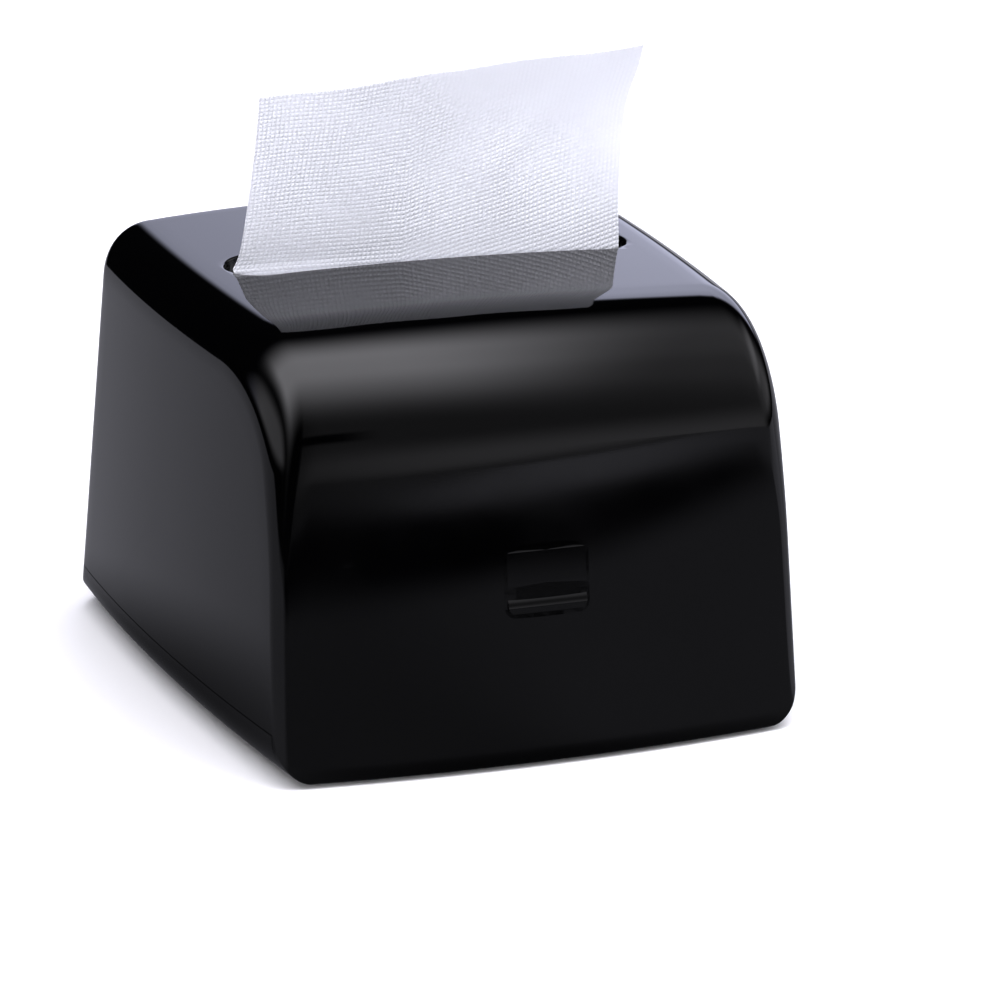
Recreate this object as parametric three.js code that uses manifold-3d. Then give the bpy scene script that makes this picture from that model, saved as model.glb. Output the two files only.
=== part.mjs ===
// Tabletop napkin dispenser: a gloss plastic cover hinged at the back of a base tray, with a
// sprung latch in its front wall. Inside, two springs lift a pressure plate and its pile of
// folded napkins towards the slot in the cover's top. Millimetres, +Z up, front towards -Y.
import * as THREE from "three";
import { mergeVertices } from "three/addons/utils/BufferGeometryUtils.js";
import Module from "manifold-3d";

const wasm = await Module();
wasm.setup();

// Driving dimensions of the casing
const FOOT_DROP = 1.2; // how far the rubber feet stand below the tray
const BODY_HEIGHT = 133.8;
const BODY_DEPTH = 200;
const HALF_WIDTH_LOW = 97.3;
const HALF_WIDTH_TOP = 89.6;
const FRONT_LEAN = 0.16; // run back for each unit of height
const BACK_LEAN = 0.06;
const TOP_SLOPE = 0.01;
const SIDE_BOW = 4.8; // the ends of a side lie this far inside its middle
const PLAN_TAPER = 5.7; // the back is wider than the middle, and the front narrower
const FRONT_BOW = 5.9;
const BACK_BOW = 10.2;
const CROWN = 2.8;
const FRONT_TOP_RADIUS = 43.2;
const BACK_TOP_RADIUS = 9.5;
const TOP_EDGE_RADIUS = 16.3;
const FRONT_EDGE_RADIUS = 2.9;
const LOW_CORNER_RADIUS = 10.7;
const BOTTOM_RADIUS = 1.5;
const LOW_MARGIN = 0.4; // the lower corners are rounded from just outside the side face
const WALL = 2.8;
const GAP = 0.3; // between pieces that touch
const SEAM_Z = 16.2; // where the cover meets the tray
const PANEL_DEPTH = 4.5; // the front wall runs down past the tray in this depth
const HALF_DEPTH = BODY_DEPTH / 2;
const HINGE_OVERHANG = 2.94; // the whole's middle lies this far behind the casing's own

// Slot and napkins
const SLOT_HALF_LENGTH = 68;
const SLOT_RADIUS = 11.8;
const SLOT_Y = 15.3;
const SLOT_RIB = 1.6;
const SLOT_RIB_Z = 128;
const NAPKIN_WIDTH = 127;
const NAPKIN_FOLDED_DEPTH = 100;
const STACK_TOP_Z = 124;
const STACK_HEIGHT = 60;
const SHEET_LENGTH = 75;
const SHEET_THICKNESS = 0.8;
const SHEET_LOW_Z = 125.4;
const SHEET_LOW_Y = 9.2;
const SHEET_LEAN = THREE.MathUtils.degToRad(6);

// Tray, magazine and lift
const TRAY_FLOOR = 2.4;
const TRAY_RIM = 4.9;
const TRAY_LIP_INSET = 3.3;
const TRAY_LIP_TOP = 21;
const FLOOR_Z = FOOT_DROP + TRAY_FLOOR;
const BAY_CLEARANCE = 2;
const MAGAZINE_WALL = 2;
const MAGAZINE_TOP_Z = 96;
const BAY_X = NAPKIN_WIDTH / 2 + BAY_CLEARANCE;
const BAY_Y = NAPKIN_FOLDED_DEPTH / 2 + BAY_CLEARANCE;
const PLATE_THICKNESS = 2.2;
const PLATE_TOP_Z = STACK_TOP_Z - STACK_HEIGHT - GAP;
const LIFT_SPRING_X = 36;
const LIFT_SPRING_RADIUS = 7.2;
const LIFT_WIRE = 0.8;
const FOOT_X = 68;
const FOOT_Y = 72;

// Latch, in the leaning frame of the front wall: s runs inward from its face, u up along it
const LATCH_Z = 57.2;
const LATCH_HALF_WIDTH = 12.9;
const LATCH_HALF_HEIGHT = 9.8;
const LATCH_GAP = 0.5;
const LATCH_PIVOT_S = 3.6;
const LATCH_PIVOT_U = 7.6;
const LATCH_PIN_RADIUS = 1;
const CATCH_S = 12.3;

// Hinge: three knuckles at each side on one line behind the back wall
const HINGE_Y = 102.6;
const HINGE_Z = SEAM_Z;
const KNUCKLE_RADIUS = 3;
const HINGE_PIN_RADIUS = 1.25;
const KNUCKLE_LENGTH = 8;
const HINGE_X = 38;
const LEAF_REACH = 7; // from the pin's line into the back wall

// ---------- solids ----------

function solid(geometry) {
  const bare = geometry.clone();
  bare.deleteAttribute("normal");
  bare.deleteAttribute("uv");
  const merged = mergeVertices(bare, 1e-4);
  return new wasm.Manifold(
    new wasm.Mesh({
      numProp: 3,
      vertProperties: merged.attributes.position.array,
      triVerts: new Uint32Array(merged.index.array),
    }),
  );
}

function toGeometry(manifold) {
  const mesh = manifold.getMesh();
  const geometry = new THREE.BufferGeometry();
  geometry.setAttribute("position", new THREE.BufferAttribute(mesh.vertProperties, 3));
  geometry.setIndex(new THREE.BufferAttribute(mesh.triVerts, 1));
  const flat = geometry.toNonIndexed();
  flat.computeVertexNormals();
  return flat;
}

// The largest separate body, without the slivers that a cut can leave.
function mainBody(whole) {
  const bodies = whole.decompose();
  return bodies.reduce((best, body) => (body.volume() > best.volume() ? body : best));
}

function join(...solids) {
  return solids.reduce((whole, piece) => whole.add(piece));
}

function cut(whole, ...tools) {
  return tools.reduce((left, tool) => left.subtract(tool), whole);
}

function box(x0, x1, y0, y1, z0, z1) {
  const geometry = new THREE.BoxGeometry(x1 - x0, y1 - y0, z1 - z0);
  return geometry.translate((x0 + x1) / 2, (y0 + y1) / 2, (z0 + z1) / 2);
}

function rodX(radius, x0, x1, y, z, sides = 16) {
  const geometry = new THREE.CylinderGeometry(radius, radius, x1 - x0, sides);
  return geometry.rotateZ(Math.PI / 2).translate((x0 + x1) / 2, y, z);
}

function rodZ(radius, z0, z1, x, y, sides = 18) {
  const geometry = new THREE.CylinderGeometry(radius, radius, z1 - z0, sides);
  return geometry.rotateX(Math.PI / 2).translate(x, y, (z0 + z1) / 2);
}

// A pan-head screw standing on the origin, its head down to -headHeight and its shank up +Z.
function screw(headRadius, headHeight, shankRadius, shankLength) {
  const outline = [
    [0, -headHeight],
    [headRadius * 0.8, -headHeight],
    [headRadius, -headHeight * 0.55],
    [headRadius, 0],
    [shankRadius, 0],
    [shankRadius, shankLength - shankRadius],
    [0, shankLength],
  ];
  const points = outline.map(([r, h]) => new THREE.Vector2(r, h));
  return new THREE.LatheGeometry(points, 14).rotateX(Math.PI / 2);
}

// ---------- the casing's outer form ----------

function halfWidth(z) {
  return HALF_WIDTH_LOW + ((HALF_WIDTH_TOP - HALF_WIDTH_LOW) * z) / BODY_HEIGHT;
}

// Moves a point of the straight-sided casing to the bowed, tapered and crowned one.
function bowed(point) {
  const width = halfWidth(point.z);
  const along = point.y / HALF_DEPTH;
  const across = (point.x / width) ** 2;
  const towardFront = THREE.MathUtils.clamp(-along, 0, 1);
  const towardBack = THREE.MathUtils.clamp(along, 0, 1);
  const spread = (PLAN_TAPER * along - SIDE_BOW * along ** 2) / width;
  point.set(
    point.x * (1 + spread),
    point.y + (FRONT_BOW * towardFront - BACK_BOW * towardBack) * across,
    point.z - (CROWN * across * point.z) / BODY_HEIGHT + FOOT_DROP,
  );
}

function mapVertices(geometry, move) {
  const position = geometry.getAttribute("position");
  const point = new THREE.Vector3();
  for (let i = 0; i < position.count; i++) {
    point.fromBufferAttribute(position, i);
    move(point);
    position.setXYZ(i, point.x, point.y, point.z);
  }
  return geometry;
}

// Where two offset lines of the side outline cross; each is a point and an outward normal.
function crossing(first, second) {
  const a = first.normal;
  const b = second.normal;
  const p = a.dot(first.point);
  const q = b.dot(second.point);
  const det = a.x * b.y - a.y * b.x;
  return new THREE.Vector2((p * b.y - q * a.y) / det, (a.x * q - b.x * p) / det);
}

// The side outline in (y, z), each point with its outward normal and edge radius.
function sideOutline(inset, bottomZ) {
  const line = (y, z, ny, nz, radius, steps) => {
    const normal = new THREE.Vector2(ny, nz).normalize();
    const point = new THREE.Vector2(y, z).addScaledVector(normal, -inset);
    return { normal, point, radius: Math.max(radius - inset, 0.8), steps };
  };
  const bottom = line(0, bottomZ + inset * Math.sign(bottomZ), 0, -1, BOTTOM_RADIUS, 4);
  const back = line(HALF_DEPTH, 0, 1, BACK_LEAN, TOP_EDGE_RADIUS, 4);
  const top = line(HALF_DEPTH, BODY_HEIGHT, -TOP_SLOPE, 1, TOP_EDGE_RADIUS, 5);
  const front = line(-HALF_DEPTH, 0, -1, FRONT_LEAN, FRONT_EDGE_RADIUS, 5);
  const sides = [bottom, back, top, front];
  const fillets = [BOTTOM_RADIUS, BACK_TOP_RADIUS, FRONT_TOP_RADIUS, BOTTOM_RADIUS];
  const arcSteps = [1, 3, 8, 1];
  const corners = sides.map((side, i) => crossing(side, sides[(i + 1) % 4]));
  const points = [];
  const arcs = sides.map((side, i) => {
    const next = sides[(i + 1) % 4];
    const radius = Math.max(fillets[i] - inset, 0.8);
    const bisector = side.normal.clone().add(next.normal).normalize();
    const centre = corners[i].clone().addScaledVector(bisector, -radius / bisector.dot(side.normal));
    const from = side.normal.angle();
    const turn = (next.normal.angle() - from + 2 * Math.PI) % (2 * Math.PI);
    return Array.from({ length: arcSteps[i] + 1 }, (_, k) => {
      const share = k / arcSteps[i];
      const angle = from + turn * share;
      const normal = new THREE.Vector2(Math.cos(angle), Math.sin(angle));
      const place = centre.clone().addScaledVector(normal, radius);
      // On the front arc the edge radius grows with height, from the front's to the top's.
      const eased = i === 2 ? Math.sqrt(share) : share;
      return { place, normal, edge: THREE.MathUtils.lerp(side.radius, next.radius, eased) };
    });
  });
  sides.forEach((side, i) => {
    const start = arcs[(i + 3) % 4].at(-1).place;
    const end = arcs[i][0].place;
    for (let k = 1; k < side.steps; k++) {
      const place = start.clone().lerp(end, k / side.steps);
      points.push({ place, normal: side.normal, edge: side.radius });
    }
    points.push(...arcs[i]);
  });
  return points;
}

// The stations across the casing: the middle, the rolled edge, then rings in on the side face.
const EDGE_ANGLES = [90, 68, 46, 23, 0].map(THREE.MathUtils.degToRad);
const MIDDLE_SHARES = [0, 0.35, 0.7];
const FACE_SHARES = [0.75, 0.45, 0.15];
const FACE_CENTRE = new THREE.Vector2(4, 58);

function stations() {
  const level = Math.PI / 2;
  const half = [
    ...MIDDLE_SHARES.map((share) => ({ share, angle: level, face: 1 })),
    ...EDGE_ANGLES.map((angle) => ({ share: 1, angle, face: 1 })),
    ...FACE_SHARES.map((face) => ({ share: 1, angle: 0, face })),
  ];
  const right = half.map((station) => ({ ...station, side: 1 }));
  const left = half.slice(1).map((station) => ({ ...station, side: -1 }));
  return [...left.reverse(), ...right];
}

function casingForm(inset, bottomZ = 0) {
  const outline = sideOutline(inset, bottomZ);
  const key = (y, z) => `${y.toFixed(2)},${z.toFixed(2)}`;
  const byPlace = new Map(outline.map((p) => [key(p.place.x, p.place.y), p]));
  const shape = new THREE.Shape(outline.map((p) => p.place));
  const list = stations();
  const steps = list.length - 1;
  const geometry = new THREE.ExtrudeGeometry(shape, { steps, depth: steps, bevelEnabled: false });
  mapVertices(geometry, (point) => {
    const { place, normal, edge } = byPlace.get(key(point.x, point.y));
    const { share, angle, face, side } = list[Math.round(point.z)];
    const at = place.clone().addScaledVector(normal, -edge * (1 - Math.sin(angle)));
    at.sub(FACE_CENTRE).multiplyScalar(face).add(FACE_CENTRE);
    const flat = halfWidth(at.y) - inset - edge;
    point.set(side * (share * flat + edge * Math.cos(angle)), at.x, at.y);
  });
  const form = solid(mapVertices(geometry, bowed));
  return bottomZ < 0 ? form : mainBody(form.intersect(lowRounding(inset)));
}

// A trough whose section has the casing's rounded lower corners.
function lowRounding(inset) {
  const across = new THREE.Shape();
  const low = HALF_WIDTH_LOW + LOW_MARGIN - inset;
  const corner = Math.max(LOW_CORNER_RADIUS - inset, 1);
  const floor = inset - 1e-3;
  const high = BODY_HEIGHT + 20;
  across.moveTo(0, floor);
  across.lineTo(low - corner, floor);
  across.absarc(low - corner, floor + corner, corner, -Math.PI / 2, 0, false);
  across.lineTo(halfWidth(high) + LOW_MARGIN - inset, high);
  across.lineTo(-halfWidth(high) - LOW_MARGIN + inset, high);
  across.absarc(-low + corner, floor + corner, corner, -Math.PI, -Math.PI / 2, false);
  const trough = new THREE.ExtrudeGeometry(across, {
    steps: 8,
    depth: 2.6 * HALF_DEPTH,
    bevelEnabled: false,
    curveSegments: 5,
  });
  trough.rotateX(Math.PI / 2).translate(0, 1.3 * HALF_DEPTH, 0);
  return solid(mapVertices(trough, bowed));
}

// Everything behind the casing's front face by more than depth, up to a height.
function behindFront(depth, z0, z1) {
  const shape = new THREE.Shape();
  const frontY = (z) => -HALF_DEPTH + FRONT_LEAN * z + depth;
  shape.moveTo(frontY(z0), z0);
  shape.lineTo(HALF_DEPTH * 1.3, z0);
  shape.lineTo(HALF_DEPTH * 1.3, z1);
  shape.lineTo(frontY(z1), z1);
  const width = 2.4 * HALF_WIDTH_LOW;
  const geometry = new THREE.ExtrudeGeometry(shape, { steps: 14, depth: width, bevelEnabled: false });
  return mapVertices(geometry, (point) => {
    const [y, z, x] = [point.x, point.y, point.z - width / 2];
    const across = Math.min((x / halfWidth(z)) ** 2, 1.2);
    point.set(x, y + (y < 0 ? FRONT_BOW * across : 0), z + FOOT_DROP);
  });
}

function slotForm(radius, z0, z1) {
  const straight = SLOT_HALF_LENGTH - SLOT_RADIUS;
  const shape = new THREE.Shape();
  shape.absarc(straight, 0, radius, -Math.PI / 2, Math.PI / 2, false);
  shape.absarc(-straight, 0, radius, Math.PI / 2, 1.5 * Math.PI, false);
  const geometry = new THREE.ExtrudeGeometry(shape, {
    depth: z1 - z0,
    bevelEnabled: false,
    curveSegments: 10,
  });
  return geometry.translate(0, SLOT_Y, z0);
}

// ---------- the front wall's leaning frame ----------

const FRONT_ANGLE = Math.atan(FRONT_LEAN);
const LATCH_Y = -HALF_DEPTH + FRONT_LEAN * (LATCH_Z - FOOT_DROP);
const latchFrame = new THREE.Matrix4()
  .makeTranslation(0, LATCH_Y, LATCH_Z)
  .multiply(new THREE.Matrix4().makeRotationX(-FRONT_ANGLE));

function onFront(geometry) {
  return geometry.applyMatrix4(latchFrame);
}

// A block of the latch's frame: x across, s inward, u up.
function frontBox(x0, x1, s0, s1, u0, u1) {
  return onFront(box(x0, x1, s0, s1, u0, u1));
}

// ---------- the pieces ----------

function latchTab() {
  const shape = new THREE.Shape();
  const low = -LATCH_HALF_HEIGHT;
  const high = LATCH_HALF_HEIGHT;
  shape.moveTo(2.2, high - 0.4);
  shape.lineTo(0.7, high);
  shape.quadraticCurveTo(0, high, 0, high - 0.8);
  shape.lineTo(0, low + 7.6);
  shape.quadraticCurveTo(0.1, low + 6.2, 1.3, low + 5.6);
  shape.quadraticCurveTo(1.1, low + 4.6, -0.9, low + 3.6);
  shape.quadraticCurveTo(-1.3, low + 2.8, -1.1, low + 1.2);
  shape.quadraticCurveTo(-0.9, low, 0.4, low);
  shape.lineTo(3.2, low);
  shape.lineTo(3.2, low + 7);
  shape.lineTo(2.2, low + 8.6);
  const width = 2 * LATCH_HALF_WIDTH;
  const face = new THREE.ExtrudeGeometry(shape, {
    depth: width,
    bevelEnabled: false,
    curveSegments: 4,
  });
  mapVertices(face, (p) => p.set(p.z - width / 2, p.x, p.y));
  const outline = new THREE.Shape();
  const [w, h, topRound, lowRound] = [LATCH_HALF_WIDTH, LATCH_HALF_HEIGHT, 1.2, 2.6];
  outline.moveTo(-w + lowRound, -h);
  outline.absarc(w - lowRound, -h + lowRound, lowRound, -Math.PI / 2, 0, false);
  outline.absarc(w - topRound, h - topRound, topRound, 0, Math.PI / 2, false);
  outline.absarc(-w + topRound, h - topRound, topRound, Math.PI / 2, Math.PI, false);
  outline.absarc(-w + lowRound, -h + lowRound, lowRound, Math.PI, 1.5 * Math.PI, false);
  const window = new THREE.ExtrudeGeometry(outline, {
    depth: 8,
    bevelEnabled: false,
    curveSegments: 5,
  });
  mapVertices(window, (p) => p.set(p.x, 5 - p.z, p.y));
  let tab = solid(face).intersect(solid(window));
  for (const side of [-1, 1]) {
    const [near, far] = [side * 9.5, side * 12.5].sort((a, b) => a - b);
    const ear = join(
      solid(box(near, far, 1.8, LATCH_PIVOT_S, LATCH_PIVOT_U - 2, LATCH_PIVOT_U + 1.6)),
      solid(rodX(2, near, far, LATCH_PIVOT_S, LATCH_PIVOT_U)),
    );
    tab = tab.add(ear);
  }
  tab = cut(
    tab,
    solid(rodX(LATCH_PIN_RADIUS + GAP, -15, 15, LATCH_PIVOT_S, LATCH_PIVOT_U)),
    solid(box(-6, 6, 1.4, 4, LATCH_PIVOT_U - 2.6, LATCH_PIVOT_U + 3)),
  );
  const web = solid(box(-5, 5, 2.8, 8.7, low + 2.4, low + 4.8));
  const arm = solid(box(-5, 5, 6.5, 8.7, low - 4.6, low + 4.8));
  const hook = solid(box(-5, 5, 8.4, 10.5, low - 4.6, low - 2.2));
  return onFront(toGeometry(join(tab, web, arm, hook)));
}

function latchWindow() {
  const w = LATCH_HALF_WIDTH + LATCH_GAP;
  const h = LATCH_HALF_HEIGHT + LATCH_GAP;
  return solid(frontBox(-w, w, -4, 4, -h, h + 0.1));
}

function latchBosses() {
  return [-1, 1].map((side) => {
    const [near, far] = [side * 15.2, side * 19].sort((a, b) => a - b);
    const [low, high] = [LATCH_PIVOT_U - 2.6, LATCH_PIVOT_U + 2.6];
    return solid(frontBox(near, far, WALL - 0.6, LATCH_PIVOT_S + 2.4, low, high));
  });
}

// One hinge's knuckles: the tray's outer pair or the cover's middle one, with their leaves.
function knuckles(side, offsets, leafZ0, leafZ1) {
  return offsets.flatMap((offset) => {
    const middle = side * HINGE_X + offset * KNUCKLE_LENGTH;
    const x0 = middle - KNUCKLE_LENGTH / 2 + GAP / 2;
    const x1 = middle + KNUCKLE_LENGTH / 2 - GAP / 2;
    return [
      solid(rodX(KNUCKLE_RADIUS, x0, x1, HINGE_Y, HINGE_Z)),
      solid(box(x0, x1, HINGE_Y - LEAF_REACH, HINGE_Y, leafZ0, leafZ1)),
    ];
  });
}

function hingeBores() {
  return [-1, 1].map((side) => {
    const half = 1.5 * KNUCKLE_LENGTH + 1;
    const x = side * HINGE_X;
    return solid(rodX(HINGE_PIN_RADIUS + GAP, x - half, x + half, HINGE_Y, HINGE_Z));
  });
}

function cover() {
  const outer = casingForm(0);
  const inner = casingForm(WALL, -20);
  const trayZone = solid(behindFront(PANEL_DEPTH - GAP, -20, SEAM_Z - FOOT_DROP + GAP / 2));
  const slot = solid(slotForm(SLOT_RADIUS, 100, 150));
  const rib = cut(
    solid(slotForm(SLOT_RADIUS + SLOT_RIB, SLOT_RIB_Z, BODY_HEIGHT - 2)),
    solid(slotForm(SLOT_RADIUS, SLOT_RIB_Z - 5, BODY_HEIGHT + 5)),
  );
  const shell = cut(outer, inner, trayZone).add(rib);
  const hinged = join(
    shell,
    ...latchBosses(),
    ...[-1, 1].flatMap((side) => knuckles(side, [0], SEAM_Z + 0.4, SEAM_Z + KNUCKLE_RADIUS)),
  );
  const pinGroove = solid(onFront(rodX(LATCH_PIN_RADIUS + GAP, -20, 20, LATCH_PIVOT_S, LATCH_PIVOT_U)));
  const reliefs = [-1, 1].flatMap((side) =>
    [-1, 1].map((offset) => {
      const middle = side * HINGE_X + offset * KNUCKLE_LENGTH;
      const half = KNUCKLE_LENGTH / 2 + GAP;
      return solid(rodX(KNUCKLE_RADIUS + GAP, middle - half + GAP, middle + half - GAP, HINGE_Y, HINGE_Z));
    }),
  );
  const tools = [slot, latchWindow(), pinGroove, ...hingeBores(), ...reliefs];
  return toGeometry(mainBody(cut(hinged, ...tools)));
}

function baseTray() {
  const top = SEAM_Z - FOOT_DROP - GAP / 2;
  const outer = casingForm(0).intersect(solid(behindFront(PANEL_DEPTH, -1, top)));
  const pocket = casingForm(TRAY_RIM, -20)
    .intersect(lowRounding(TRAY_FLOOR))
    .intersect(solid(behindFront(PANEL_DEPTH + 2.6, TRAY_FLOOR, BODY_HEIGHT)));
  const lipBand = solid(box(-120, 120, -120, 120, 10, TRAY_LIP_TOP));
  const lip = casingForm(TRAY_LIP_INSET, -20)
    .intersect(solid(behindFront(PANEL_DEPTH + 1, 1, BODY_HEIGHT)))
    .intersect(lipBand);
  const catchWall = cut(
    solid(frontBox(-22, 22, CATCH_S, CATCH_S + 2.4, -60, -8.5)),
    solid(box(-40, 40, -120, 0, -60, FOOT_DROP + 1)),
  );
  const ribs = [-1, 1].map((side) => {
    const shape = new THREE.Shape();
    shape.moveTo(-84, FOOT_DROP + 1);
    shape.lineTo(-62, FOOT_DROP + 1);
    shape.lineTo(-77.5, 44);
    shape.lineTo(-79, 44);
    const rib = new THREE.ExtrudeGeometry(shape, { depth: 2.2, bevelEnabled: false });
    return solid(mapVertices(rib, (p) => p.set(side * 18 + p.z - 1.1, p.x, p.y)));
  });
  const posts = [-1, 1].map((side) =>
    solid(rodZ(5, FOOT_DROP + 1, FLOOR_Z + 13, side * LIFT_SPRING_X, SLOT_Y)),
  );
  const footSeats = footPlaces().map(([x, y]) => solid(rodZ(8.3, FOOT_DROP - 2, FOOT_DROP + 1.3, x, y)));
  const headSeats = magazineScrewPlaces().map(([x, y]) => solid(rodZ(3.2, -1, FOOT_DROP + 1.3, x, y)));
  const shankHoles = magazineScrewPlaces().map(([x, y]) => solid(rodZ(1.6, -1, 12, x, y, 12)));
  const catchHoles = catchScrewPlaces().map((x) =>
    solid(onFront(rodS(1.3, CATCH_S - 1, CATCH_S + 4, x, CATCH_SCREW_U))),
  );
  const body = join(
    cut(join(outer, lip), pocket),
    ...posts,
    catchWall,
    ...ribs,
    ...[-1, 1].flatMap((side) => knuckles(side, [-1, 1], SEAM_Z - KNUCKLE_RADIUS, SEAM_Z - 0.4)),
  );
  const reliefs = [-1, 1].map((side) => {
    const half = KNUCKLE_LENGTH / 2;
    const x = side * HINGE_X;
    return solid(rodX(KNUCKLE_RADIUS + GAP, x - half, x + half, HINGE_Y, HINGE_Z));
  });
  const tools = [...footSeats, ...headSeats, ...shankHoles, ...catchHoles, ...hingeBores(), ...reliefs];
  return toGeometry(mainBody(cut(body, ...tools)));
}

function rodS(radius, s0, s1, x, u) {
  const geometry = new THREE.CylinderGeometry(radius, radius, s1 - s0, 12);
  return geometry.translate(x, (s0 + s1) / 2, u);
}

const CATCH_SCREW_U = -17;
function catchScrewPlaces() {
  return [-7.5, 7.5];
}

function footPlaces() {
  return [-1, 1].flatMap((x) => [-1, 1].map((y) => [x * FOOT_X, y * FOOT_Y]));
}

function magazineScrewPlaces() {
  const x = BAY_X + MAGAZINE_WALL + 4;
  return [-1, 1].flatMap((side) => [-1, 1].map((end) => [side * x, SLOT_Y + end * (BAY_Y - 10)]));
}

function catchPlate() {
  const back = CATCH_S - GAP;
  const leg = solid(frontBox(-10.5, 10.5, back - 1.1, back, -22, -8.8));
  const flange = solid(frontBox(-10.5, 10.5, back - 3, back, -11.3, -10.2));
  const hole = (x) => solid(onFront(rodS(1.3, back - 3, back + 1, x, CATCH_SCREW_U)));
  const holes = catchScrewPlaces().map(hole);
  return toGeometry(cut(join(leg, flange), ...holes));
}

function catchScrew(x) {
  const geometry = screw(2.3, 1.1, 1, 4.6).rotateX(-Math.PI / 2);
  return onFront(geometry.translate(x, CATCH_S - GAP - 1.1 - GAP, CATCH_SCREW_U));
}

function magazine() {
  const low = FLOOR_Z + GAP;
  const [x, y, t] = [BAY_X, BAY_Y, MAGAZINE_WALL];
  const walls = cut(
    solid(box(-x - t, x + t, SLOT_Y - y - t, SLOT_Y + y + t, low, MAGAZINE_TOP_Z)),
    solid(box(-x, x, SLOT_Y - y, SLOT_Y + y, low - 1, MAGAZINE_TOP_Z + 1)),
    solid(box(-x - 9, x + 9, SLOT_Y - 7, SLOT_Y + 7, 16, MAGAZINE_TOP_Z + 1)),
    solid(box(-32, 32, SLOT_Y - y - 9, SLOT_Y + y + 9, 60, MAGAZINE_TOP_Z + 1)),
  );
  const bosses = magazineScrewPlaces().map(([px, py]) => {
    const inward = Math.sign(px) * (BAY_X + t / 2);
    const [x0, x1] = [inward, px].sort((a, b) => a - b);
    return join(
      solid(rodZ(3.6, low, low + 9, px, py)),
      solid(box(x0, x1, py - 1.5, py + 1.5, low, low + 9)),
    );
  });
  const pilots = magazineScrewPlaces().map(([px, py]) => solid(rodZ(1.5, low - 1, low + 7, px, py, 12)));
  return toGeometry(cut(join(walls, ...bosses), ...pilots));
}

function pressurePlate() {
  const edge = 0.8;
  const low = PLATE_TOP_Z - PLATE_THICKNESS;
  const [x, y] = [BAY_X - edge, BAY_Y - edge];
  const plate = solid(box(-x, x, SLOT_Y - y, SLOT_Y + y, low, PLATE_TOP_Z));
  const ears = solid(box(-x - 6, x + 6, SLOT_Y - 5, SLOT_Y + 5, low - 2, PLATE_TOP_Z));
  const cups = [-1, 1].map((side) => {
    const centre = side * LIFT_SPRING_X;
    const outer = solid(rodZ(10.4, low - 5, low + 0.5, centre, SLOT_Y));
    return { outer, inner: solid(rodZ(9.2, low - 6, low, centre, SLOT_Y)) };
  });
  const webs = solid(box(-x + 4, x - 4, SLOT_Y - 1, SLOT_Y + 1, low - 3, low + 0.5));
  const whole = join(plate, ears, webs, ...cups.map((cup) => cup.outer));
  return toGeometry(cut(whole, ...cups.map((cup) => cup.inner)));
}

// A wire coil round the Z axis from z0 to z1, with level turns at both ends.
function coil(radius, wire, turns, z0, z1, sides, perTurn) {
  const rise = z1 - z0 - 2 * wire;
  class Helix extends THREE.Curve {
    getPoint(t, target = new THREE.Vector3()) {
      const angle = 2 * Math.PI * turns * t;
      const level = 0.75 / turns;
      const share = THREE.MathUtils.clamp((t - level) / (1 - 2 * level), 0, 1);
      const lead = 2.3 * wire;
      const start = Math.min(t / level, 1) * lead;
      const end = Math.max((t - 1 + level) / level, 0) * lead;
      const height = z0 + wire + start + end + share * (rise - 2 * lead);
      return target.set(radius * Math.cos(angle), radius * Math.sin(angle), height);
    }
  }
  const section = new THREE.Shape(
    Array.from({ length: sides }, (_, k) => {
      const angle = (2 * Math.PI * k) / sides;
      return new THREE.Vector2(wire * Math.cos(angle), wire * Math.sin(angle));
    }),
  );
  const steps = Math.round(turns * perTurn);
  return new THREE.ExtrudeGeometry(section, { steps, extrudePath: new Helix() });
}

function liftSpring(x) {
  const low = FLOOR_Z + GAP;
  const high = PLATE_TOP_Z - PLATE_THICKNESS - GAP;
  return coil(LIFT_SPRING_RADIUS, LIFT_WIRE, 7, low, high, 5, 13).translate(x, SLOT_Y, 0);
}

// The latch's torsion spring: a close coil on the pin, one leg on the tab, one up the wall.
function latchSpring() {
  const wire = 0.3;
  const radius = 1.62;
  const turns = 5;
  const half = 4;
  class Wound extends THREE.Curve {
    getPoint(t, target = new THREE.Vector3()) {
      const leg = 0.14;
      if (t < leg) {
        return target.set(-half, radius, -(1 - t / leg) * 6);
      }
      if (t > 1 - leg) {
        return target.set(half, radius, ((t - 1 + leg) / leg) * 7);
      }
      const share = (t - leg) / (1 - 2 * leg);
      const angle = 2 * Math.PI * turns * share;
      const x = THREE.MathUtils.lerp(-half, half, share);
      return target.set(x, radius * Math.cos(angle), radius * Math.sin(angle));
    }
  }
  const section = new THREE.Shape(
    Array.from({ length: 5 }, (_, k) => {
      const angle = (2 * Math.PI * k) / 5;
      return new THREE.Vector2(wire * Math.cos(angle), wire * Math.sin(angle));
    }),
  );
  const geometry = new THREE.ExtrudeGeometry(section, { steps: 72, extrudePath: new Wound() });
  return onFront(geometry.translate(0, LATCH_PIVOT_S, LATCH_PIVOT_U));
}

function napkinStack() {
  const [x, y] = [NAPKIN_WIDTH / 2, NAPKIN_FOLDED_DEPTH / 2];
  return box(-x, x, SLOT_Y - y, SLOT_Y + y, STACK_TOP_Z - STACK_HEIGHT, STACK_TOP_Z);
}

function napkinSheet() {
  const half = SHEET_THICKNESS / 2;
  const sheet = box(-NAPKIN_WIDTH / 2, NAPKIN_WIDTH / 2, -half, half, 0, SHEET_LENGTH);
  return sheet.rotateX(SHEET_LEAN).translate(0, SHEET_LOW_Y, SHEET_LOW_Z);
}

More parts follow.
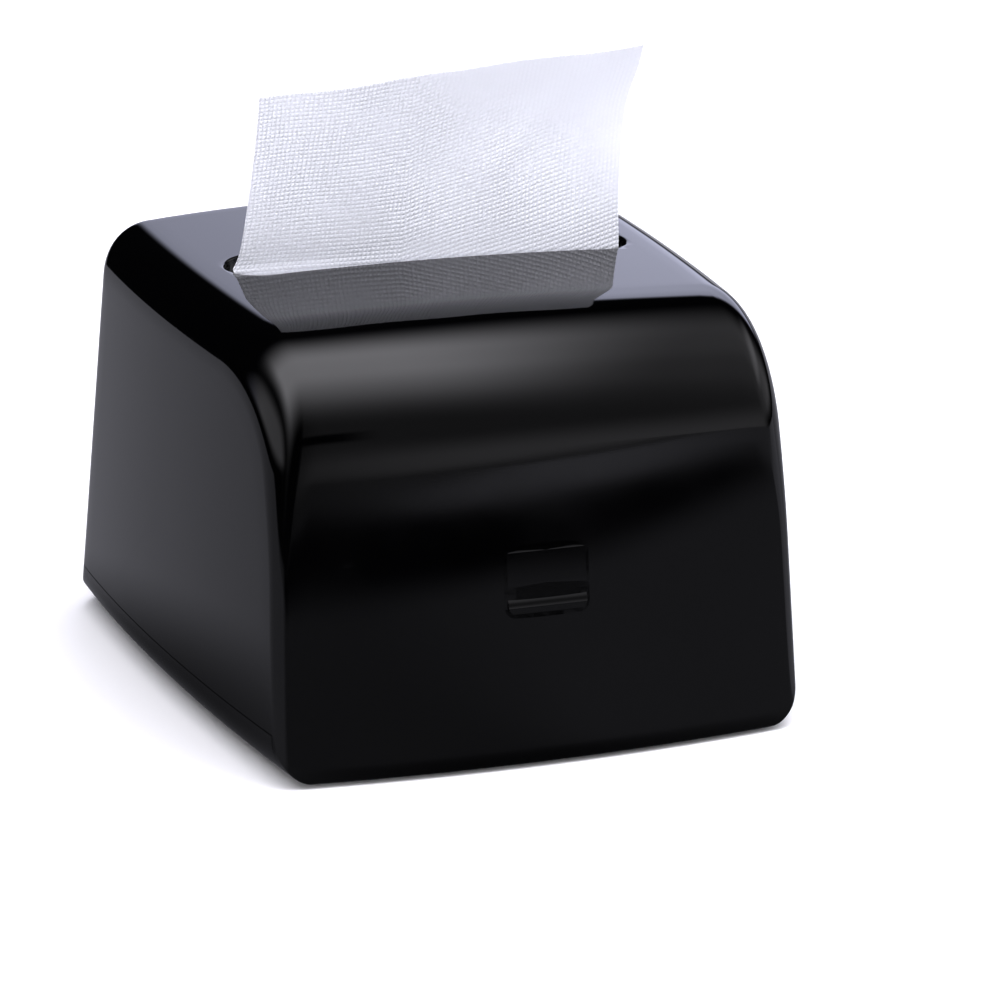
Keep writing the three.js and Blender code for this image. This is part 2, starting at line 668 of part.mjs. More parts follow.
function rubberFoot([x, y]) {
  const outline = [
    [0, 0],
    [7, 0],
    [7.8, 0.8],
    [8, FOOT_DROP + 1.3 - GAP],
    [0, FOOT_DROP + 1.3 - GAP],
  ];
  const points = outline.map(([r, h]) => new THREE.Vector2(r, h));
  return new THREE.LatheGeometry(points, 24).rotateX(Math.PI / 2).translate(x, y, 0);
}

function magazineScrew([x, y]) {
  const seat = FOOT_DROP + 1.3 - GAP;
  return screw(2.7, 0.9, 1.2, 6.8).translate(x, y, seat);
}

// ---------- materials and assembly ----------

function finish(color, roughness, metalness = 0) {
  return new THREE.MeshStandardMaterial({ color, roughness, metalness });
}

const group = new THREE.Group();
group.position.y = -HINGE_OVERHANG;

function add(name, geometry, material) {
  const mesh = new THREE.Mesh(geometry, material);
  mesh.name = name;
  group.add(mesh);
}

const sides = [
  ["left", -1],
  ["right", 1],
];

add("cover", cover(), finish(0x0a0a0c, 0.12));
add("latch_tab", latchTab(), finish(0x0b0b0d, 0.2));
add(
  "latch_pin",
  onFront(rodX(LATCH_PIN_RADIUS, -18.6, 18.6, LATCH_PIVOT_S, LATCH_PIVOT_U, 16)),
  finish(0xb9bbbd, 0.3, 1),
);
add("latch_spring", latchSpring(), finish(0x9a9c9e, 0.35, 1));
add("base_tray", baseTray(), finish(0x0c0c0e, 0.3));
add("catch_plate", catchPlate(), finish(0xa9abad, 0.35, 1));
add("magazine", magazine(), finish(0x1a1a1c, 0.5));
add("pressure_plate", pressurePlate(), finish(0x1c1c1e, 0.5));
add("napkin_stack", napkinStack(), finish(0xf2f2f4, 0.95));
add("napkin_sheet", napkinSheet(), finish(0xf4f4f7, 0.95));
for (const [name, side] of sides) {
  const half = 1.5 * KNUCKLE_LENGTH;
  const x = side * HINGE_X;
  const pin = rodX(HINGE_PIN_RADIUS, x - half, x + half, HINGE_Y, HINGE_Z, 16);
  add(`hinge_pin_${name}`, pin, finish(0xb9bbbd, 0.3, 1));
  add(`lift_spring_${name}`, liftSpring(side * LIFT_SPRING_X), finish(0x9a9c9e, 0.35, 1));
  add(`catch_screw_${name}`, catchScrew(side * catchScrewPlaces()[1]), finish(0x8d8f92, 0.35, 1));
}
const cornerNames = ["front_left", "back_left", "front_right", "back_right"];
cornerNames.forEach((name, i) => {
  add(`foot_${name}`, rubberFoot(footPlaces()[i]), finish(0x161617, 0.85));
  add(`magazine_screw_${name}`, magazineScrew(magazineScrewPlaces()[i]), finish(0x8d8f92, 0.35, 1));
});

export default group;
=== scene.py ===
import math
import random

import bpy
from mathutils import Matrix, Vector
from mathutils.kdtree import KDTree


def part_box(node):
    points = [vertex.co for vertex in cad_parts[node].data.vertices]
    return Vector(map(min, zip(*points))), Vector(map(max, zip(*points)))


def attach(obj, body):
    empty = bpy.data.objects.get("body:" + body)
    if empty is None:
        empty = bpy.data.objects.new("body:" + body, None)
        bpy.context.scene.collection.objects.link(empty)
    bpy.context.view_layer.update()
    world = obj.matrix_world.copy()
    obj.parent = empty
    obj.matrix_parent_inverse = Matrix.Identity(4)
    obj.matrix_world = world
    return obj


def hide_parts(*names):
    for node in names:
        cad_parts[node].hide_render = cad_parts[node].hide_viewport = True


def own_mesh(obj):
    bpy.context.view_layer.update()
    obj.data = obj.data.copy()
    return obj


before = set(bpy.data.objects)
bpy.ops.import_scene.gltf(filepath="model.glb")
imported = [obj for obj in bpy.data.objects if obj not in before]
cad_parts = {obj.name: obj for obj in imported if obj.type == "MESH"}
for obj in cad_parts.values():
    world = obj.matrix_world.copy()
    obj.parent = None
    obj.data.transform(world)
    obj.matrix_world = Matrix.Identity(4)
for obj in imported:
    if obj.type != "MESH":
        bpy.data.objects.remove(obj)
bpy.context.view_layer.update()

# ---- Cover ----------------------------------------------------------------------------------
# One polished black ABS moulding with a bowed, tapered body, a rolled top edge and a long slot.
# It hangs on two knuckles at the back, and its front wall runs down in front of the tray.
BODY_HEIGHT = 0.1338
HALF_DEPTH = 0.1
HALF_WIDTH_LOW = 0.0973
HALF_WIDTH_TOP = 0.0896
FRONT_LEAN = 0.16
BACK_LEAN = 0.06
TOP_SLOPE = 0.01
SIDE_BOW = 0.0048
PLAN_TAPER = 0.0057
FRONT_BOW = 0.0059
BACK_BOW = 0.0102
CROWN = 0.0028
FRONT_TOP_RADIUS = 0.0432
BACK_TOP_RADIUS = 0.0095
TOP_EDGE_RADIUS = 0.0163
FRONT_EDGE_RADIUS = 0.0045
ROLL_START = 0.06
ROLL_END = 0.159
FRONT_RUN = 0.129
FRONT_ARC_START = 0.0982
FRONT_ARC_RUN = 0.0608
SMALLEST_RADIUS = 0.0008
LOW_CORNER_RADIUS = 0.0135
BOTTOM_RADIUS = 0.0015
MARGIN = 0.00003
BELOW = -0.03
ABOVE = 0.02
CUT_HALF_LENGTH = 0.13
CUT_HALF_WIDTH = 0.12
ZONE_HALF_WIDTH = 0.117
CUT_STEPS = 64
WALL = 0.0028
GAP = 0.0003
SEAM_Z = 0.0162
PANEL_DEPTH = 0.0045
SLOT_HALF_LENGTH = 0.068
SLOT_RADIUS = 0.0118
SLOT_Y = 0.0153
SLOT_COLLAR = 0.0016
SLOT_COLLAR_LEVELS = [(-0.005, 0), (-0.001, 0)]

FOOT_DROP = 0.0012
pile_low, pile_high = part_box("napkin_stack")
CASING_Y = (pile_low.y + pile_high.y) / 2 - SLOT_Y


def half_width(z):
    return HALF_WIDTH_LOW + (HALF_WIDTH_TOP - HALF_WIDTH_LOW) * z / BODY_HEIGHT


def bowed(point):
    """A point of the straight-sided casing, moved to the bowed, tapered and crowned one."""
    width = half_width(point.z)
    along = point.y / HALF_DEPTH
    across = (point.x / width) ** 2
    front = min(max(-along, 0), 1)
    back = min(max(along, 0), 1)
    spread = (PLAN_TAPER * along - SIDE_BOW * along**2) / width
    return Vector((
        point.x * (1 + spread),
        point.y + (FRONT_BOW * front - BACK_BOW * back) * across + CASING_Y,
        point.z - CROWN * across * point.z / BODY_HEIGHT + FOOT_DROP,
    ))


def reshape(piece, move):
    for vertex in piece.data.vertices:
        vertex.co = move(vertex.co)
    piece.data.update()
    return piece


def select_only(piece):
    bpy.ops.object.select_all(action="DESELECT")
    piece.select_set(True)
    bpy.context.view_layer.objects.active = piece


def prism(name, outline, axis, start, end, steps=1):
    """A closed solid: an outline drawn across an axis and extruded along it in equal steps."""
    bpy.ops.object.select_all(action="DESELECT")
    bpy.ops.mesh.primitive_circle_add(vertices=len(outline), fill_type="NGON")
    piece = bpy.context.object
    piece.name = name
    along = "XYZ".index(axis)
    first, second = [i for i in range(3) if i != along]
    for vertex, (a, b) in zip(piece.data.vertices, outline):
        vertex.co[first] = a
        vertex.co[second] = b
        vertex.co[along] = start
    step = Vector((0, 0, 0))
    step[along] = (end - start) / steps
    bpy.ops.object.mode_set(mode="EDIT")
    bpy.ops.mesh.select_all(action="SELECT")
    for _ in range(steps):
        bpy.ops.mesh.extrude_region_move(TRANSFORM_OT_translate={"value": step})
    bpy.ops.mesh.select_all(action="SELECT")
    bpy.ops.mesh.normals_make_consistent(inside=False)
    bpy.ops.object.mode_set(mode="OBJECT")
    return piece


def block(low, high):
    bpy.ops.object.select_all(action="DESELECT")
    middle = [(a + b) / 2 for a, b in zip(low, high)]
    bpy.ops.mesh.primitive_cube_add(size=1, location=middle)
    piece = bpy.context.object
    piece.scale = [b - a for a, b in zip(low, high)]
    bpy.ops.object.transform_apply(location=True, rotation=True, scale=True)
    return piece


def rod(radius, start, end, sides=32):
    """A solid round bar between two points."""
    bpy.ops.object.select_all(action="DESELECT")
    start, end = Vector(start), Vector(end)
    turn = (end - start).to_track_quat("Z", "Y").to_euler()
    bpy.ops.mesh.primitive_cylinder_add(
        vertices=sides, radius=radius, depth=(end - start).length,
        location=(start + end) / 2, rotation=turn,
    )
    bpy.ops.object.transform_apply(location=True, rotation=True, scale=True)
    return bpy.context.object


def combine(piece, operation, *tools):
    for tool in tools:
        modifier = piece.modifiers.new("join", "BOOLEAN")
        modifier.operation = operation
        modifier.solver = "MANIFOLD"
        modifier.object = tool
        select_only(piece)
        bpy.ops.object.modifier_apply(modifier=modifier.name)
        bpy.data.objects.remove(tool)
    return piece


def rounded(corners, steps=8):
    """An outline whose corners, each (a, b, radius), are turned into arcs."""
    outline = []
    for i, (a, b, radius) in enumerate(corners):
        here = Vector((a, b))
        if radius == 0:
            outline.append(tuple(here))
            continue
        back = (Vector(corners[i - 1][:2]) - here).normalized()
        on = (Vector(corners[(i + 1) % len(corners)][:2]) - here).normalized()
        half = back.angle(on) / 2
        centre = here + (back + on).normalized() * radius / math.sin(half)
        first = here + back * radius / math.tan(half) - centre
        last = here + on * radius / math.tan(half) - centre
        start = math.atan2(first.y, first.x)
        turn = (math.atan2(last.y, last.x) - start + math.pi) % (2 * math.pi) - math.pi
        for k in range(steps + 1):
            angle = start + turn * k / steps
            outline.append((centre.x + radius * math.cos(angle), centre.y + radius * math.sin(angle)))
    return outline


def ease(value, start, end):
    """From 0 at the start to 1 at the end, level at both."""
    t = min(max((value - start) / (end - start), 0), 1)
    return t * t * (3 - 2 * t)


def rolled_edge(along):
    """The front's edge radius at a distance up the front face: it opens into the top's."""
    return FRONT_EDGE_RADIUS + (TOP_EDGE_RADIUS - FRONT_EDGE_RADIUS) * ease(along, ROLL_START, ROLL_END)


def side_samples(inset):
    """The side outline's points: each an edge radius, and its place at a depth inside the form."""
    lines = [
        (Vector((0, -1)), Vector((0, BELOW)), FRONT_EDGE_RADIUS, 6),
        (Vector((1, BACK_LEAN)), Vector((HALF_DEPTH, 0)), TOP_EDGE_RADIUS, 26),
        (Vector((-TOP_SLOPE, 1)), Vector((HALF_DEPTH, BODY_HEIGHT)), TOP_EDGE_RADIUS, 40),
        (Vector((-1, FRONT_LEAN)), Vector((-HALF_DEPTH, 0)), FRONT_EDGE_RADIUS, 26),
    ]
    lines = [(n.normalized(), p, edge, count) for n, p, edge, count in lines]
    fillets = [(BOTTOM_RADIUS, 2), (BACK_TOP_RADIUS, 16), (FRONT_TOP_RADIUS, 44), (BOTTOM_RADIUS, 2)]

    def corner(i, depth):
        (a, p, _, _), (b, q, _, _) = lines[i], lines[(i + 1) % 4]
        first = a.dot(p) - inset - depth
        second = b.dot(q) - inset - depth
        det = a.x * b.y - a.y * b.x
        return Vector(((first * b.y - second * a.y) / det, (a.x * second - b.x * first) / det))

    def arc_point(i, share, depth):
        a, b = lines[i][0], lines[(i + 1) % 4][0]
        bisector = (a + b).normalized()
        full = max(fillets[i][0] - inset, SMALLEST_RADIUS)
        radius = full * math.exp(-depth / full)
        start = math.atan2(a.y, a.x)
        turn = (math.atan2(b.y, b.x) - start) % (2 * math.pi)
        angle = start + turn * share
        normal = Vector((math.cos(angle), math.sin(angle)))
        return corner(i, depth) - bisector * radius / bisector.dot(a) + normal * radius

    samples = []
    for i, (_, _, edge, count) in enumerate(lines):
        for k in range(1, count):
            # The front's edge opens a little before its arc begins.
            here = rolled_edge(FRONT_ARC_START - FRONT_RUN * k / count) if i == 3 else edge
            samples.append((max(here - inset, SMALLEST_RADIUS), lambda depth, i=i, share=k / count: (
                arc_point((i + 3) % 4, 1, depth).lerp(arc_point(i, 0, depth), share)
            )))
        steps = fillets[i][1]
        following = lines[(i + 1) % 4][2]
        for k in range(steps + 1):
            share = k / steps
            here = edge + (following - edge) * share
            if i == 2:
                here = rolled_edge(ROLL_END - FRONT_ARC_RUN * share)
            samples.append((max(here - inset, SMALLEST_RADIUS), lambda depth, i=i, share=share: (
                arc_point(i, share, depth)
            )))
    return samples


def stations():
    """Across the casing: the middle, the rolled edge, then rings in on the side face."""
    level = math.pi / 2
    half = [(i / 16, level, 1) for i in range(16)]
    half += [(1, level * (1 - i / 14), 1) for i in range(15)]
    half += [(1, 0, 1 - i / 12) for i in range(1, 12)]
    return [(-1, *s) for s in reversed(half[1:])] + [(1, *s) for s in half]


FACE_CENTRE = Vector((0.004, 0.058))


def casing(name, inset):
    """The whole casing as a closed solid, at a distance inside its outer face."""
    samples = side_samples(inset)
    rings = stations()
    start = [at(0) for _, at in samples]
    form = prism(name, [tuple(p) for p in start], "X", 0, len(rings) - 1, len(rings) - 1)
    tree = KDTree(len(start))
    for i, p in enumerate(start):
        tree.insert((0, p.x, p.y), i)
    tree.balance()

    def place(point):
        side, share, angle, face = rings[round(point.x)]
        edge, at = samples[tree.find((0, point.y, point.z))[1]]
        spot = FACE_CENTRE + (at(edge * (1 - math.sin(angle))) - FACE_CENTRE) * face
        flat = half_width(spot.y) - inset - edge
        return bowed(Vector((side * (share * flat + edge * math.cos(angle)), spot.x, spot.y)))

    return reshape(form, place)


def low_rounding(inset):
    """A trough with the casing's rounded lower corners."""
    low = HALF_WIDTH_LOW + MARGIN - inset
    tall = BODY_HEIGHT + ABOVE
    high = half_width(tall) + MARGIN - inset
    radius = max(LOW_CORNER_RADIUS - inset, 0.001)
    corners = [(-low, inset, radius), (low, inset, radius), (high, tall, 0), (-high, tall, 0)]
    trough = prism("trough", rounded(corners, 12), "Y", -CUT_HALF_LENGTH, CUT_HALF_LENGTH, CUT_STEPS)
    return reshape(trough, bowed)


def bottom_rounding():
    """A block with the casing's rounded lower front and back edges."""
    tall = BODY_HEIGHT + ABOVE
    corners = [
        (-HALF_DEPTH - MARGIN, 0, BOTTOM_RADIUS),
        (HALF_DEPTH + MARGIN, 0, BOTTOM_RADIUS),
        (HALF_DEPTH + MARGIN - BACK_LEAN * tall, tall, 0),
        (-HALF_DEPTH - MARGIN + FRONT_LEAN * tall, tall, 0),
    ]
    footing = prism("footing", rounded(corners, 5), "X", -CUT_HALF_WIDTH, CUT_HALF_WIDTH, CUT_STEPS)
    return reshape(footing, bowed)


def behind_front(depth, low, high):
    """All that lies further than a depth behind the front face, between two heights."""
    def front(z):
        return -HALF_DEPTH + FRONT_LEAN * z + depth

    def place(point):
        across = min((point.x / half_width(point.z)) ** 2, 1.2)
        bow = FRONT_BOW * across if point.y < 0 else 0
        return Vector((point.x, point.y + bow + CASING_Y, point.z + FOOT_DROP))

    outline = [(front(low), low), (CUT_HALF_LENGTH, low), (CUT_HALF_LENGTH, high), (front(high), high)]
    return reshape(prism("zone", outline, "X", -ZONE_HALF_WIDTH, ZONE_HALF_WIDTH, CUT_STEPS), place)


def slot_solid(radius, levels):
    """A long round-ended solid; each level is a height from the top face, and how far it flares."""
    straight = SLOT_HALF_LENGTH - SLOT_RADIUS
    ends = [(straight, -90), (-straight, 90)]
    angles = [(x, math.radians(start + 5 * k)) for x, start in ends for k in range(37)]
    outline = [(x + radius * math.cos(angle), radius * math.sin(angle)) for x, angle in angles]

    def place(point):
        height, flare = levels[round(point.z)]
        spine = Vector((min(max(point.x, -straight), straight), 0, 0))
        out = Vector((point.x, point.y, 0)) - spine
        spot = spine + out * (1 + flare / radius)
        y = spot.y + SLOT_Y
        top = BODY_HEIGHT + TOP_SLOPE * (y - HALF_DEPTH) - CROWN * (spot.x / half_width(BODY_HEIGHT)) ** 2
        return Vector((spot.x, y + CASING_Y, top + height + FOOT_DROP))

    return reshape(prism("slot", outline, "Z", 0, len(levels) - 1, len(levels) - 1), place)


FRONT_ANGLE = math.atan(FRONT_LEAN)
LATCH_Z = 0.0572
LATCH_Y = -HALF_DEPTH + FRONT_LEAN * (LATCH_Z - FOOT_DROP) + CASING_Y
LATCH_HALF_WIDTH = 0.0129
LATCH_HALF_HEIGHT = 0.0098
LATCH_GAP = 0.0007
LATCH_ARCH = 0.0011
LATCH_TOP = 0.0106
LATCH_TOP_CORNER = 0.0012
LATCH_LOW_CORNER = 0.0027
PIVOT_S = 0.0036
PIVOT_U = 0.0076
PIVOT_BORE = 0.0013


def on_front(point):
    """From the front wall's leaning frame, x across, y inward and z up along it, to the whole's."""
    lean = Matrix.Rotation(-FRONT_ANGLE, 3, "X")
    return lean @ Vector(point) + Vector((0, LATCH_Y, LATCH_Z))


def front_block(low, high):
    return reshape(block(low, high), on_front)


def front_rod(radius, start, end):
    return rod(radius, on_front(start), on_front(end))


def latch_outline(grow):
    w, h = LATCH_HALF_WIDTH + grow, LATCH_HALF_HEIGHT + grow
    low, top = LATCH_LOW_CORNER + grow, LATCH_TOP_CORNER + grow
    arch = [(w * k / 6, LATCH_TOP + grow - LATCH_ARCH * (k / 6) ** 2, 0) for k in range(4, -5, -1)]
    shoulder = LATCH_TOP + grow - LATCH_ARCH
    return rounded([(-w, -h, low), (w, -h, low), (w, shoulder, top), *arch, (-w, shoulder, top)], 10)


def flared_window(levels):
    """The latch's opening; each level is a depth from the front face, and how far it flares."""
    def place(point):
        depth, flare = levels[round(point.y)]
        w, h = LATCH_HALF_WIDTH + LATCH_GAP, LATCH_HALF_HEIGHT + LATCH_GAP
        bow = FRONT_BOW * (point.x / HALF_WIDTH_LOW) ** 2
        return on_front((point.x * (1 + flare / w), depth + bow, point.z * (1 + flare / h)))

    count = len(levels) - 1
    return reshape(prism("window", latch_outline(LATCH_GAP), "Y", 0, count, count), place)


hinge_low, hinge_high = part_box("hinge_pin_right")
HINGE_Y = (hinge_low.y + hinge_high.y) / 2
HINGE_Z = (hinge_low.z + hinge_high.z) / 2
HINGE_X = (hinge_low.x + hinge_high.x) / 2
KNUCKLE_RADIUS = 0.003
KNUCKLE_LENGTH = 0.008
LEAF_REACH = 0.007


def knuckles(side, offsets, leaf_low, leaf_high):
    made = []
    for offset in offsets:
        middle = side * HINGE_X + offset * KNUCKLE_LENGTH
        x0 = middle - KNUCKLE_LENGTH / 2 + GAP / 2
        x1 = middle + KNUCKLE_LENGTH / 2 - GAP / 2
        made.append(rod(KNUCKLE_RADIUS, (x0, HINGE_Y, HINGE_Z), (x1, HINGE_Y, HINGE_Z)))
        made.append(block((x0, HINGE_Y - LEAF_REACH, leaf_low), (x1, HINGE_Y, leaf_high)))
    return made


def hinge_cuts(half, radius, offsets=(0,)):
    spots = [side * HINGE_X + offset * KNUCKLE_LENGTH for side in (-1, 1) for offset in offsets]
    return [rod(radius, (x - half, HINGE_Y, HINGE_Z), (x + half, HINGE_Y, HINGE_Z)) for x in spots]


HINGE_BORE = 0.00155
HINGE_BORE_HALF = 0.013
LEAF_GAP = 0.0004
BOSS_NEAR = 0.0152
BOSS_FAR = 0.019
BOSS_ROOT = 0.0022
BOSS_DEPTH = 0.0024
BOSS_HALF_HEIGHT = 0.0026
PIN_GROOVE_HALF = 0.02

cover = combine(casing("cover_shell", 0), "INTERSECT", low_rounding(0), bottom_rounding())
tray = cover.copy()
tray.data = cover.data.copy()
bpy.context.collection.objects.link(tray)
tray.name = "tray_body"
combine(cover, "DIFFERENCE", casing("inside", WALL))
combine(cover, "DIFFERENCE", behind_front(PANEL_DEPTH - GAP, -0.02, SEAM_Z - FOOT_DROP + GAP / 2))
combine(cover, "UNION", slot_solid(SLOT_RADIUS + SLOT_COLLAR, SLOT_COLLAR_LEVELS))
for side in (-1, 1):
    near, far = sorted((side * BOSS_NEAR, side * BOSS_FAR))
    boss = front_block(
        (near, BOSS_ROOT, PIVOT_U - BOSS_HALF_HEIGHT),
        (far, PIVOT_S + BOSS_DEPTH, PIVOT_U + BOSS_HALF_HEIGHT),
    )
    combine(cover, "UNION", boss, *knuckles(side, [0], SEAM_Z + LEAF_GAP, SEAM_Z + KNUCKLE_RADIUS))
slot_flare = [
    (-0.03, 0), (-0.0008, 0), (-0.0004, 0.00012), (-0.00012, 0.0004), (0.0001, 0.001), (0.01, 0.001),
]
window_flare = [
    (0.004, 0), (0.0005, 0), (0.0002, 0.0001), (0.00004, 0.0003), (-0.0001, 0.0007), (-0.006, 0.0007),
]
pin_groove = front_rod(
    PIVOT_BORE, (-PIN_GROOVE_HALF, PIVOT_S, PIVOT_U), (PIN_GROOVE_HALF, PIVOT_S, PIVOT_U),
)
combine(cover, "DIFFERENCE", slot_solid(SLOT_RADIUS, slot_flare), flared_window(window_flare), pin_groove)
combine(cover, "DIFFERENCE", *hinge_cuts(HINGE_BORE_HALF, HINGE_BORE))
combine(cover, "DIFFERENCE", *hinge_cuts(KNUCKLE_LENGTH / 2, KNUCKLE_RADIUS + GAP, (-1, 1)))


def smooth(piece, degrees):
    select_only(piece)
    bpy.ops.object.shade_smooth_by_angle(angle=math.radians(degrees), keep_sharp_edges=False)


def node_material(name):
    material = bpy.data.materials.new(name)
    material.use_nodes = True
    return material, material.node_tree.nodes, material.node_tree.links


def noise(nodes, links, scale, detail=3, stretch=None):
    where = nodes.new("ShaderNodeTexCoord")
    texture = nodes.new("ShaderNodeTexNoise")
    texture.inputs["Scale"].default_value = scale
    texture.inputs["Detail"].default_value = detail
    source = where.outputs["Object"]
    if stretch:
        mapping = nodes.new("ShaderNodeMapping")
        mapping.inputs["Scale"].default_value = stretch
        links.new(source, mapping.inputs["Vector"])
        source = mapping.outputs["Vector"]
    links.new(source, texture.inputs["Vector"])
    return texture.outputs["Fac"]


def remap(nodes, links, value, low, high, out_low, out_high):
    ranged = nodes.new("ShaderNodeMapRange")
    for key, number in zip(("From Min", "From Max", "To Min", "To Max"), (low, high, out_low, out_high)):
        ranged.inputs[key].default_value = number
    links.new(value, ranged.inputs["Value"])
    return ranged.outputs["Result"]


def feed(links, node, values):
    """Each value is a node's output, a number or a vector, or None for a socket left alone."""
    for socket, value in zip(node.inputs, values):
        if isinstance(value, bpy.types.NodeSocket):
            links.new(value, socket)
        elif value is not None:
            socket.default_value = value
    return node


def arithmetic(nodes, links, operation, *values):
    node = nodes.new("ShaderNodeMath")
    node.operation = operation
    return feed(links, node, values).outputs["Value"]


def vector_arithmetic(nodes, links, operation, *values, result="Vector"):
    node = nodes.new("ShaderNodeVectorMath")
    node.operation = operation
    return feed(links, node, values).outputs[result]


def parted(nodes, links, vector):
    node = nodes.new("ShaderNodeSeparateXYZ")
    return feed(links, node, [vector]).outputs


def two_tone(nodes, links, value, first, second):
    mix = nodes.new("ShaderNodeMix")
    mix.data_type = "RGBA"
    mix.inputs["A"].default_value = (*first, 1)
    mix.inputs["B"].default_value = (*second, 1)
    links.new(value, mix.inputs["Factor"])
    return mix.outputs["Result"]


def relief(nodes, links, height, depth, under=None):
    bump = nodes.new("ShaderNodeBump")
    bump.inputs["Distance"].default_value = depth
    links.new(height, bump.inputs["Height"])
    if under:
        links.new(under, bump.inputs["Normal"])
    return bump.outputs["Normal"]


def plastic(name, dark, light, roughness, grain_scale, grain_depth, flow_depth, scuff):
    """Moulded plastic: a faint tone change, flow waves, fine grain, and fine scuffs that dull it."""
    material, nodes, links = node_material(name)
    shader = nodes["Principled BSDF"]
    shader.inputs["IOR"].default_value = 1.52
    tone = remap(nodes, links, noise(nodes, links, 14), 0.35, 0.65, 0, 1)
    links.new(two_tone(nodes, links, tone, dark, light), shader.inputs["Base Color"])
    handled = remap(nodes, links, noise(nodes, links, 22, 4), 0.42, 0.72, roughness, roughness + scuff)
    hairlines = noise(nodes, links, 90, 2, (1, 14, 3))
    scratched = remap(nodes, links, hairlines, 0.7, 0.8, 0, scuff)
    links.new(arithmetic(nodes, links, "ADD", handled, scratched), shader.inputs["Roughness"])
    flow = relief(nodes, links, noise(nodes, links, 30, 1), flow_depth)
    grain = relief(nodes, links, noise(nodes, links, grain_scale, 2), grain_depth, flow)
    links.new(grain, shader.inputs["Normal"])
    return material


def dress(piece, material, angle=30):
    piece.data.materials.clear()
    piece.data.materials.append(material)
    for face in piece.data.polygons:
        face.material_index = 0
    smooth(piece, angle)


gloss_black = plastic(
    "gloss_black", dark=(0.0004, 0.0004, 0.0005), light=(0.0009, 0.0009, 0.0011), roughness=0.03,
    grain_scale=2400, grain_depth=0.0000012, flow_depth=0.000008, scuff=0.03,
)
dress(cover, gloss_black)
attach(cover, "cover")
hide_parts("cover")

# ---- Tray -----------------------------------------------------------------------------------
# The base is a second black moulding with the casing's outline below the seam. A lip inside the
# cover, two spring posts, the ribbed catch wall and the hinges' outer knuckles are moulded on it.
TRAY_FLOOR = 0.0024
TRAY_RIM = 0.0049
LIP_INSET = 0.0033
LIP_TOP = 0.021
CATCH_S = 0.0123
CATCH_SCREW_U = -0.017
CATCH_SCREW_X = 0.0075
FOOT_SEAT = 0.0083
OVERLAP = 0.001
LIP_ROOT = 0.01
FRONT_RIM = 0.0026
POST_RADIUS = 0.005
POST_HEIGHT = 0.013
RIB_X = 0.018
RIB_HALF = 0.0011
RIB_OUTLINE = [(-0.084, 0.0022), (-0.062, 0.0022), (-0.0775, 0.044), (-0.079, 0.044)]
CATCH_WALL_HALF = 0.022
CATCH_WALL = 0.0024
CATCH_WALL_LOW = -0.06
CATCH_WALL_TOP = -0.0085
SEAT_DEPTH = 0.0013
SCREW_HEAD_SEAT = 0.0032
SCREW_HOLE = 0.0016
SCREW_HOLE_TOP = 0.012
CATCH_SCREW_HOLE = 0.0013
tray_top = SEAM_Z - FOOT_DROP - GAP / 2
combine(tray, "INTERSECT", behind_front(PANEL_DEPTH, -OVERLAP, tray_top))
lip = casing("lip", LIP_INSET)
lip_zone = behind_front(PANEL_DEPTH + OVERLAP, OVERLAP, BODY_HEIGHT)
lip_band = block((-CUT_HALF_WIDTH, -CUT_HALF_WIDTH, LIP_ROOT), (CUT_HALF_WIDTH, CUT_HALF_WIDTH, LIP_TOP))
combine(lip, "INTERSECT", lip_zone, lip_band)
combine(tray, "UNION", lip)
pocket = casing("pocket", TRAY_RIM)
pocket_zone = behind_front(PANEL_DEPTH + FRONT_RIM, TRAY_FLOOR, BODY_HEIGHT)
combine(pocket, "INTERSECT", low_rounding(TRAY_FLOOR), pocket_zone)
combine(tray, "DIFFERENCE", pocket)
floor_z = FOOT_DROP + TRAY_FLOOR
spring_low, spring_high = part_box("lift_spring_right")
SPRING_X = (spring_low.x + spring_high.x) / 2
SPRING_Y = (spring_low.y + spring_high.y) / 2


def upright(radius, place, low, high, sides=32):
    return rod(radius, (place[0], place[1], low), (place[0], place[1], high), sides)


for side in (-1, 1):
    place = (side * SPRING_X, SPRING_Y)
    post = upright(POST_RADIUS, place, floor_z - OVERLAP, floor_z + POST_HEIGHT, 48)
    rib = prism("rib", RIB_OUTLINE, "X", side * RIB_X - RIB_HALF, side * RIB_X + RIB_HALF)
    reshape(rib, lambda p: p + Vector((0, CASING_Y, 0)))
    hinge = knuckles(side, [-1, 1], SEAM_Z - KNUCKLE_RADIUS, SEAM_Z - LEAF_GAP)
    combine(tray, "UNION", post, rib, *hinge)
catch_wall = front_block(
    (-CATCH_WALL_HALF, CATCH_S, CATCH_WALL_LOW),
    (CATCH_WALL_HALF, CATCH_S + CATCH_WALL, CATCH_WALL_TOP),
)
combine(catch_wall, "DIFFERENCE", block((-0.04, -0.13, CATCH_WALL_LOW), (0.04, 0, FOOT_DROP + OVERLAP)))
combine(tray, "UNION", catch_wall)
for corner in ("front_left", "back_left", "front_right", "back_right"):
    low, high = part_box("foot_" + corner)
    seat = upright(FOOT_SEAT, (low + high) / 2, -OVERLAP, FOOT_DROP + SEAT_DEPTH, 64)
    low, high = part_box("magazine_screw_" + corner)
    head = upright(SCREW_HEAD_SEAT, (low + high) / 2, -OVERLAP, FOOT_DROP + SEAT_DEPTH, 40)
    shank = upright(SCREW_HOLE, (low + high) / 2, -OVERLAP, SCREW_HOLE_TOP)
    combine(tray, "DIFFERENCE", seat, head, shank)
for side in (-1, 1):
    x = side * CATCH_SCREW_X
    near = (x, CATCH_S - OVERLAP, CATCH_SCREW_U)
    far = (x, CATCH_S + 0.004, CATCH_SCREW_U)
    combine(tray, "DIFFERENCE", front_rod(CATCH_SCREW_HOLE, near, far))
combine(tray, "DIFFERENCE", *hinge_cuts(HINGE_BORE_HALF, HINGE_BORE))
